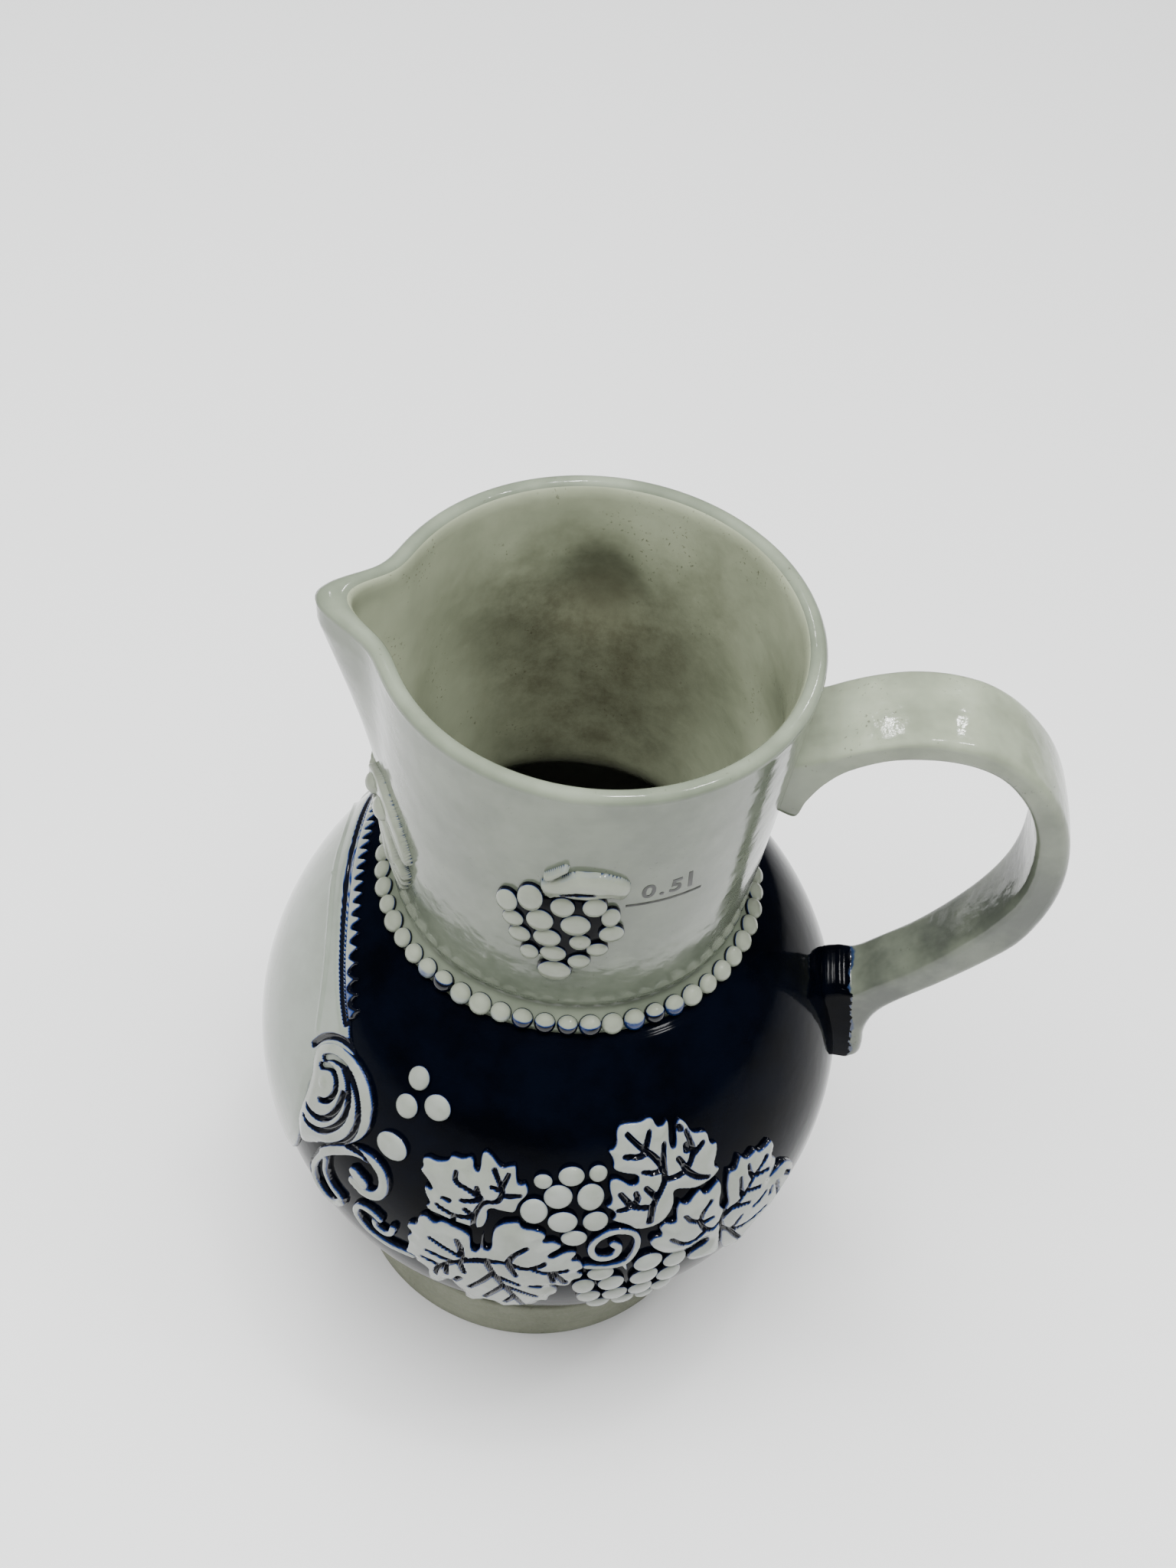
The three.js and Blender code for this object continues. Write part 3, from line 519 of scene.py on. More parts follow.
neckDims = {"bottom": 95.8, "groove": 28.5, "cove": 101.5, "radius": 29.4, "rim": 34.0, "top": 156.0,
            "wall": 4.6, "rimWall": 3.0, "seat": 27.2, "throat": 24.8, "inside": 28,
            "lip": 8.3, "lipAngle": 10.0, "lipRoot": 108.0, "lipRise": 1.2, "lipInside": 0.72,
            "around": 320, "settled": (99, 106), "smoothed": (156, 146),
            # waves in the hand-smoothed inside: depth, turns round, climb
            "wobble": ((0.14, 3, 0.11), (0.1, 5, -0.23)),
            # the cove below the cone, out from the groove and up from the bottom
            "coveLine": ((2.7, 0.4), (2.5, 1.3), (1.8, 2.1), (0.9, 3.0), (0.2, 3.8), (-0.1, 4.5), (0.1, 5.2)),
            # pressed hollows inside: degrees, height, half width, depth
            "hollows": ((90, 135, 7, 1.6), (-90, 127, 12, 1.3), (182, 112, 9, 1.4), (2, 132, 8, 1.3))}


def neckRadius(z, d=neckDims):
    return d["radius"] + (z - d["cove"]) / (d["top"] - d["cove"]) * (d["rim"] - d["radius"])


def lipReach(deg, z, d=neckDims):
    off = deg % 360 - 180
    climb = np.clip((z - d["lipRoot"]) / (0.9 * (d["top"] - d["lipRoot"])), 0, 1) ** 1.6
    return d["lip"] * np.exp(-(off / d["lipAngle"]) ** 2) * climb


def onNeck(deg, z, lift):
    r = neckRadius(z) + lipReach(deg, z) + lift
    turn = np.radians(deg)
    return np.stack((r * np.cos(turn), r * np.sin(turn), z + 0 * r), -1)


def makeNeck(d):
    around = d["around"]
    deg = np.linspace(0, 360, around, endpoint=False)[:, None]
    roll = d["rimWall"] / 2
    outerZ = np.concatenate((np.linspace(d["cove"], 150, 44), np.linspace(150.8, d["top"] - roll, 7)))
    outerR = neckRadius(outerZ)
    low = np.array([(d["seat"], d["bottom"])]
                   + [(d["groove"] + out, d["bottom"] + up) for out, up in d["coveLine"]])
    arc = np.radians(np.linspace(15, 165, 9))
    centre = neckRadius(d["top"]) - roll
    rim = np.stack((centre + roll * np.cos(arc), d["top"] - roll + roll * np.sin(arc)), 1)
    innerZ = np.concatenate((np.linspace(d["top"] - roll - 0.4, 148, 7), np.linspace(146.5, 100, 36)))
    thick = np.interp(innerZ, (d["cove"], d["top"]), (d["wall"], d["rimWall"]))
    innerR = neckRadius(innerZ) - thick
    foot = np.array(((d["throat"], 98.5), (d["throat"] + 0.7, 96.6), (26, d["bottom"])))
    outline = np.vstack((low, np.stack((outerR, outerZ), 1), rim, np.stack((innerR, innerZ), 1), foot))
    share = np.concatenate((np.ones(len(low) + len(outerZ)), np.linspace(1, d["lipInside"], len(rim)),
                            np.full(len(innerZ) + len(foot), d["lipInside"])))
    z = np.broadcast_to(outline[:, 1], (around, len(outline)))
    reach = lipReach(deg, z)
    r = outline[:, 0] + reach * share
    inside = np.arange(len(outline)) >= len(low) + len(outerZ) + len(rim)
    for where, height, wide, depth in d["hollows"]:
        off = np.radians((deg - where + 180) % 360 - 180) * d["inside"]
        r = r + inside * depth * np.exp(-((off / wide) ** 2 + ((z - height) / wide) ** 2) ** 1.5)
    wobble = sum(depth * np.sin(np.radians(deg) * turns + z * climb) for depth, turns, climb in d["wobble"])
    r = r + inside * wobble * smoothStep(z, *d["settled"]) * smoothStep(z, *d["smoothed"])
    rise = d["lipRise"] * reach / d["lip"] * smoothStep(z, 140, d["top"])
    turn = np.radians(deg)
    points = np.stack((r * np.cos(turn), r * np.sin(turn), z + rise), 2).reshape(-1, 3)
    glazed = len(low) + len(outerZ) + len(rim) - 2
    finishOf = np.tile(np.where(np.arange(len(outline)) < glazed, 0, 1), around)
    faces = ringFaces(around, len(outline), True)
    piece = meshFrom("neckCone", points, faces, (greyFinish, insideFinish), finishOf=finishOf)
    settle(piece, "grey_glaze", "neck")


makeNeck(neckDims)
print("jug: neck and lip formed")


# Handle: a pulled strap, wide at the top, pressed on with a tail at each end

handleDims = {"edge": 1.4, "crown": 0.35, "count": 420, "corner": 6, "flats": 18, "stations": (
    # outer x, z, inner x, z, half width
    (30.2, 138.2, 30.2, 126.9, 7.5), (33.0, 139.6, 33.3, 126.2, 7.85), (36.5, 141.3, 34.3, 129.8, 7.85),
    (40.0, 143.2, 36.3, 134.2, 7.85), (44.3, 145.0, 39.5, 138.0, 7.85), (49.3, 146.4, 45.5, 141.2, 7.85),
    (55.2, 146.6, 53.0, 142.2, 7.85), (61.2, 145.1, 59.2, 141.2, 7.8), (66.8, 141.4, 64.0, 138.4, 7.7),
    (72.2, 135.4, 68.4, 132.9, 7.5), (75.9, 128.0, 71.1, 126.3, 7.2), (77.7, 120.5, 72.2, 119.5, 6.9),
    (78.1, 113.0, 72.2, 113.2, 6.6), (77.1, 105.5, 71.0, 107.4, 6.3), (74.6, 98.0, 68.4, 101.4, 6.0),
    (70.0, 91.5, 64.4, 94.9, 5.8), (64.5, 85.0, 59.6, 88.8, 5.6), (58.9, 79.2, 54.6, 83.9, 5.5),
    (56.0, 75.6, 50.4, 80.2, 5.45), (54.6, 72.2, 47.2, 80.0, 5.4), (54.1, 68.6, 44.6, 78.0, 5.5),
    (54.4, 65.0, 45.6, 70.0, 5.55), (54.3, 62.2, 46.4, 65.0, 5.4), (53.2, 60.9, 46.9, 61.6, 5.2))}


def makeHandle(d):
    count = d["count"]
    s = spline(d["stations"], count)
    outer, inner, half = s[:, 0:2], s[:, 2:4], s[:, 4]
    middle, across = (outer + inner) / 2, outer - inner
    depth = np.linalg.norm(across, axis=1)
    across /= depth[:, None]
    edge = np.minimum(d["edge"], depth * 0.46)
    section = []
    corners = np.array(((1, 1), (-1, 1), (-1, -1), (1, -1)))
    for n, (at, after) in enumerate(zip(corners, np.roll(corners, -1, axis=0))):
        for a in np.radians(90 * n + np.linspace(0, 90, d["corner"])):
            section.append((*at, math.cos(a), math.sin(a)))
        for t in np.linspace(0, 1, d["flats"] + 2)[1:-1]:
            section.append((*(at + (after - at) * t), math.cos(a), math.sin(a)))
    rows = []
    for sx, sy, ca, sa in section:
        out = sx * (depth / 2 - edge) + edge * ca
        side = sy * (half - edge) + edge * sa
        out = out + d["crown"] * (1 if sx > 0 else -0.3) * (1 - (side / half) ** 2)
        x, z = (middle + across * out[:, None]).T
        rows.append(np.column_stack((x, side, z)))
    around = len(rows)
    points = np.stack(rows, 1)
    strap = points.reshape(-1, 3)
    i, j = np.meshgrid(np.arange(count - 1), np.arange(around), indexing="ij")
    k = (j + 1) % around
    quads = np.stack((i * around + j, (i + 1) * around + j, (i + 1) * around + k, i * around + k), 2)
    faces = quads.reshape(-1, 4).tolist()
    ends = np.vstack((strap, points[0].mean(0), points[-1].mean(0)))
    for base, tip, flip in ((0, len(strap), -1), ((count - 1) * around, len(strap) + 1, 1)):
        for j in range(around):
            faces.append((base + (j + 1) % around, base + j, tip)[::flip])
    heart = np.array([ends[list(f)].mean(0) for f in faces])
    # cobalt ends in an uneven line
    waver = 0.3 * np.sin(1.9 * heart[:, 1]) + 0.2 * np.sin(3.1 * heart[:, 2] + 1.0)
    slant = dip["slant"] * (dip["height"] - heart[:, 2])
    dipped = ((heart[:, 0] < dip["line"] + slant + waver) & (heart[:, 2] < dip["top"])).astype(int)
    piece = meshFrom("handleStrap", ends, faces, (handleFinish, cobaltFinish), finishOf=dipped)
    settle(piece, "grey_glaze", "handle")


makeHandle(handleDims)
print("jug: handle pulled")


# Geometry nodes: domes set on points, for berries and beads

def addInput(tree, label, kind, value):
    socket = tree.interface.new_socket(label, in_out="INPUT", socket_type=kind)
    if value is not None:
        socket.default_value = value
    return socket.identifier


def makeDomeTree():
    tree = bpy.data.node_groups.new("domesOnWall", "GeometryNodeTree")
    tree.interface.new_socket("Geometry", in_out="INPUT", socket_type="NodeSocketGeometry")
    keys = {label: addInput(tree, label, kind, value) for label, kind, value in (
        ("Segments", "NodeSocketInt", 28), ("Rings", "NodeSocketInt", 14), ("Blue Edge", scalar, 0.3),
        ("Flat", scalar, 0.6), ("Uneven", scalar, 0.06), ("Seed", "NodeSocketInt", 5),
        ("Finish", "NodeSocketMaterial", None))}
    tree.interface.new_socket("Geometry", in_out="OUTPUT", socket_type="NodeSocketGeometry")
    ins, outs = put(tree, "NodeGroupInput"), put(tree, "NodeGroupOutput")
    given = ins.outputs

    def named(label):
        node = put(tree, "GeometryNodeInputNamedAttribute", data_type="FLOAT_VECTOR")
        node.inputs["Name"].default_value = label
        return node.outputs["Attribute"]

    dome = put(tree, "GeometryNodeMeshUVSphere")
    feed(tree, dome, Segments=given["Segments"], Rings=given["Rings"], Radius=1.0)
    level = axesOf(tree, put(tree, "GeometryNodeInputPosition").outputs[0])
    tone = fade(tree, level["Z"], 0.1, maths(tree, "ADD", given["Blue Edge"], 0.1))
    toned = put(tree, "GeometryNodeStoreNamedAttribute", data_type="FLOAT", domain="POINT")
    feed(tree, toned, Geometry=dome.outputs["Mesh"], Name="tone", Value=tone)
    # a pebble: the crown pressed flat and the sides steeper
    crown = maths(tree, "POWER", maths(tree, "MAXIMUM", level["Z"], 0.0), given["Flat"])
    pressed = feed(tree, put(tree, "ShaderNodeCombineXYZ"), X=level["X"], Y=level["Y"],
                   Z=maths(tree, "MULTIPLY_ADD", maths(tree, "MINIMUM", level["Z"], 0.0), 0.3, crown))
    pebble = put(tree, "GeometryNodeSetPosition")
    feed(tree, pebble, Geometry=toned.outputs["Geometry"], Position=pressed.outputs[0])
    upright = feed(tree, put(tree, "FunctionNodeAlignRotationToVector", axis="Z"), Vector=named("out"))
    turnedRight = put(tree, "FunctionNodeAlignRotationToVector", axis="X", pivot_axis="Z")
    feed(tree, turnedRight, Rotation=upright.outputs["Rotation"], Vector=named("along"))
    chance = put(tree, "FunctionNodeRandomValue", data_type="FLOAT")
    low, high = maths(tree, "SUBTRACT", 1.0, given["Uneven"]), maths(tree, "ADD", 1.0, given["Uneven"])
    feed(tree, chance, n2=low, n3=high, Seed=given["Seed"])
    size = put(tree, "ShaderNodeVectorMath", operation="SCALE")
    feed(tree, size, n0=named("size"), Scale=chance.outputs[1])
    placed = put(tree, "GeometryNodeInstanceOnPoints")
    feed(tree, placed, Points=given["Geometry"], Instance=pebble.outputs["Geometry"],
         Rotation=turnedRight.outputs["Rotation"], Scale=size.outputs["Vector"])
    solid = feed(tree, put(tree, "GeometryNodeRealizeInstances"), Geometry=placed.outputs["Instances"])
    smooth = feed(tree, put(tree, "GeometryNodeSetShadeSmooth"), Geometry=solid.outputs["Geometry"])
    glazed = put(tree, "GeometryNodeSetMaterial")
    feed(tree, glazed, Geometry=smooth.outputs["Geometry"], Material=given["Finish"])
    tree.links.new(glazed.outputs["Geometry"], outs.inputs["Geometry"])
    return tree, keys


domeTree, domeKeys = makeDomeTree()


def domesOn(name, places, outs, alongs, sizes, finish, tint=None, drip=None, **settings):
    mesh = bpy.data.meshes.new(name + "Points")
    mesh.from_pydata((np.asarray(places) * mm).tolist(), [], [])
    for label, values in (("out", outs), ("along", alongs), ("size", np.asarray(sizes) * mm)):
        field = mesh.attributes.new(label, "FLOAT_VECTOR", "POINT")
        field.data.foreach_set("vector", np.asarray(values, float).ravel())
    holder = addObject(name + "Points", mesh)
    modifier = holder.modifiers.new("domes", "NODES")
    modifier.node_group = domeTree
    for label, value in {**settings, "Finish": finish}.items():
        modifier[domeKeys[label.replace("_", " ")]] = value
    done = meshOf(holder)
    done.name = name
    for label in ("out", "along", "size"):
        if label in done.attributes:
            done.attributes.remove(done.attributes[label])
    if tint is not None:
        field = done.attributes["tone"].data
        tone = np.empty(len(field))
        field.foreach_get("value", tone)
        tint = np.tile(np.reshape(tint, (-1, 1)), len(tone) // len(tint))
        if drip:
            z = np.empty(3 * len(tone))
            done.vertices.foreach_get("co", z)
            z = z[2::3].reshape(tint.shape) / mm
            tint = tint * smoothStep(z.max(1, keepdims=True) - z, *drip)
        field.foreach_set("value", tone - tint.ravel())
    return addObject(name, done)


def spread(place, deg, up, across, climb):
    # lengths on the wall, from this far one way to this far the other, along it and up it
    return (np.linalg.norm(place(deg + across, up, 0.0) - place(deg - across, up, 0.0), axis=1),
            np.linalg.norm(place(deg, up + climb, 0.0) - place(deg, up - climb, 0.0), axis=1))


def parted(place, deg, up, wide, tall, gap):
    # berries that would run together shrink until a thread of cobalt lies between them
    x, y = (length.mean() for length in spread(place, deg, up, 0.5, 0.5))
    room = np.ones(len(deg))
    for i in range(len(deg)):
        dx, dy = (deg - deg[i]) * x, (up - up[i]) * y
        dx[i] = 1e3                                   # never in its own way
        apart = np.hypot(dx, dy)
        cos, sin = dx / apart, dy / apart
        own = 1 / np.hypot(cos / (wide[i] * x), sin / (tall[i] * y))
        other = 1 / np.hypot(cos / (wide * x), sin / (tall * y))
        room[i] = min(1.0, ((apart - gap) / (own + other)).min())
    return wide * room, tall * room


domeSink = 0.35                                       # how deep a berry sits in the wall


def domesOnWall(name, place, berries, side, lift, finish, gap=None, **settings):
    # berries are (degrees, height on the wall, half width in degrees, half height on the wall)
    deg, up, wide, tall = np.array(berries, float).T
    if gap is not None:
        wide, tall = parted(place, deg, up, wide, tall, gap)
    wide, tall = (length / 2 for length in spread(place, deg, up, wide, tall))
    spot = place(side * deg, up, -domeSink)
    outward = place(side * deg, up, 1.0) - place(side * deg, up, 0.0)
    along = place(side * deg + 0.5, up, 0.0) - place(side * deg - 0.5, up, 0.0)
    sizes = np.stack((wide, tall, np.full(len(wide), lift + domeSink)), 1)
    return domesOn(name, spot, outward, along, sizes, finish, **settings)


# Bead ring under the neck

beadDims = {"count": 54, "ring": 30.55, "height": 97.65, "radius": 1.72, "lean": 0.75, "drip": (0.3, 1.3),
            # where cobalt ran over them: degrees off the handle, width, amount
            "blue": ((127, 7, 1.0), (60, 9, 1.0), (96, 12, 0.75), (82, 6, 0.6))}


def makeBeads(d):
    turn = np.arange(d["count"]) / d["count"] * 2 * math.pi
    zero = 0 * turn
    spot = np.stack((d["ring"] * np.cos(turn), d["ring"] * np.sin(turn), zero + d["height"]), 1)
    lean = np.stack((np.cos(turn), np.sin(turn), zero + d["lean"]), 1)
    along = np.stack((-np.sin(turn), np.cos(turn), zero), 1)
    sizes = np.tile((d["radius"] * 1.04, d["radius"], d["radius"]), (d["count"], 1))
    off = np.abs((np.degrees(turn) + 180) % 360 - 180)
    tint = sum(much * np.exp(-((off - at) / wide) ** 2) for at, wide, much in d["blue"])
    piece = domesOn("beadRing", spot, lean, along, sizes, neckReliefFinish, tint, d["drip"],
                    Segments=20, Rings=12, Blue_Edge=0.15, Flat=0.7, Uneven=0.07)
    settle(piece, "relief_glaze", "bead_ring")


makeBeads(beadDims)
print("jug: beads set")


# Sprigged relief: each piece is a height field over the wall, in degrees round it and per cent up it

degreeLength, percentLength = 0.8796, 0.9532          # mm at the belly's widest
sprigDims = {"step": 0.28, "floor": -1.0, "cut": -0.5, "leaf": 1.47, "scroll": 1.6, "berry": 1.45,
             "swell": 1.15, "gap": -0.05,              # berries in a bunch press against each other
             # depths in from the edge: tone from blue to pale, steep side, soft crown and its share
             "pale": (-0.24, 0.85), "base": -0.9, "side": (-0.4, 0.42), "crown": (0.2, 2.4), "share": 0.34,
             "ground": 0.2}


def flat(points):
    return np.asarray(points, float) * (degreeLength, percentLength)


def distanceTo(grid, path, closed=False):
    best = np.full(grid.shape[0], 1e9)
    share = np.zeros(grid.shape[0])
    after = np.roll(path, -1, axis=0) if closed else path[1:]
    before = path if closed else path[:-1]
    lengths = np.linalg.norm(after - before, axis=1)
    starts = np.concatenate(([0], np.cumsum(lengths)))
    for a, b, length, start in zip(before, after, lengths, starts):
        if length < 1e-9:
            continue
        t = np.clip(((grid - a) @ (b - a)) / length ** 2, 0, 1)
        d = np.linalg.norm(grid - a - t[:, None] * (b - a), axis=1)
        near = d < best
        best[near] = d[near]
        share[near] = (start + t[near] * length) / starts[-1]
    return best, share


def insideOutline(grid, outline):
    x, y = grid.T
    inside = np.zeros(len(grid), bool)
    for (ax, ay), (bx, by) in zip(outline, np.roll(outline, -1, axis=0)):
        if ay != by:
            inside ^= ((ay > y) != (by > y)) & (x < (bx - ax) * (y - ay) / (by - ay) + ax)
    return inside


def edgeDepth(grid, outline):
    d, _ = distanceTo(grid, outline, True)
    return np.where(insideOutline(grid, outline), d, -d)


def sprig(name, place, span, form, finish, side, step=sprigDims["step"]):
    # span is (u0, u1, v0, v1) in flat mm; form gives lift and tone; place takes flat mm and lift
    u = np.arange(span[0], span[1] + step, step)
    v = np.arange(span[2], span[3] + step, step)
    uu, vv = np.meshgrid(u, v, indexing="ij")
    grid = np.stack((uu.ravel(), vv.ravel()), 1)
    lift, tone = form(grid)
    high = (lift > sprigDims["cut"]).reshape(uu.shape)
    cell = high[:-1, :-1] & high[1:, :-1] & high[1:, 1:] & high[:-1, 1:]
    number = np.arange(uu.size).reshape(uu.shape)
    quads = np.stack((number[:-1, :-1], number[1:, :-1], number[1:, 1:], number[:-1, 1:]), 2)[cell]
    edges = np.concatenate([quads[:, (k, (k + 1) % 4)] for k in range(4)])
    key = np.sort(edges, 1)
    _, first, counts = np.unique(key[:, 0] * uu.size + key[:, 1], return_index=True, return_counts=True)
    rim = edges[first[counts == 1]]
    top = place(grid[:, 0], grid[:, 1], lift, side)
    bottom = place(grid[:, 0], grid[:, 1], np.full(len(grid), sprigDims["floor"]), side)
    used = np.unique(quads)
    turnTo = np.full(uu.size, -1)
    turnTo[used] = np.arange(len(used))
    n = len(used)
    quads, rim = turnTo[quads], turnTo[rim]
    walls = np.stack((rim[:, 1], rim[:, 0], rim[:, 0] + n, rim[:, 1] + n), 1)
    faces = np.concatenate((quads, quads[:, ::-1] + n, walls))
    if side < 0:
        faces = faces[:, ::-1]
    points = np.concatenate((top[used], bottom[used]))
    return meshFrom(name, points, faces, (finish,), np.concatenate((tone[used], np.zeros(n))))


def bellyPlace(u, v, lift, side):
    return onBelly(side * u / degreeLength, v / percentLength, lift)


def spanOf(points, margin):
    low, high = points.min(0) - margin, points.max(0) + margin
    return low[0], high[0], low[1], high[1]


def sprigForm(outlines, bands, grooves, lift, dark=1.0, knobs=()):
    # bands are (points, half width at start, at end) in mm; grooves are (points, half width)
    p = sprigDims
    edges = [rounded(flat(o)) for o in outlines]
    strips = [(spline(flat(points), 8 * len(points)), start, end) for points, start, end in bands]
    cuts = [(rounded(flat(points), False), wide) for points, wide in grooves]

    def form(grid):
        depth = np.full(len(grid), -9.0)
        for edge in edges:
            depth = np.maximum(depth, edgeDepth(grid, edge))
        for path, start, end in strips:
            d, share = distanceTo(grid, path)
            depth = np.maximum(depth, start + (end - start) * share - d)
        tone = smoothStep(depth, *p["pale"])
        body = lift * (1 - p["share"] + p["share"] * smoothStep(depth, *p["crown"]))
        height = p["base"] + (body - p["base"]) * smoothStep(depth, *p["side"])
        for path, wide in cuts:
            d, share = distanceTo(grid, path)
            w = wide * (1.0 - 0.3 * share)
            inGroove = 1 - smoothStep(d, 0.5 * w, 1.25 * w + 0.1)
            tone = np.minimum(tone, 1 - dark * (1 - smoothStep(d, 0.65 * w, 1.2 * w + 0.5)))
            deep = inGroove * (height - p["ground"]) * (0.5 + 0.4 * dark)
            height = np.where(height > p["ground"], height - deep, height)
        for deg, up, wide, rise in knobs:
            near = np.clip(1 - (np.linalg.norm(grid - flat((deg, up)), axis=1) / wide) ** 2, 0, 1) ** 0.5
            height = np.where(near > 0, np.maximum(height, (lift + rise) * near), height)
            tone = np.maximum(tone, smoothStep(near, 0.15, 0.5))
        return height, tone

    reach = np.vstack(edges + [path for path, _, _ in strips])
    margin = 1.2 + max([max(a, b) for _, a, b in strips], default=0)
    return form, spanOf(reach, margin)


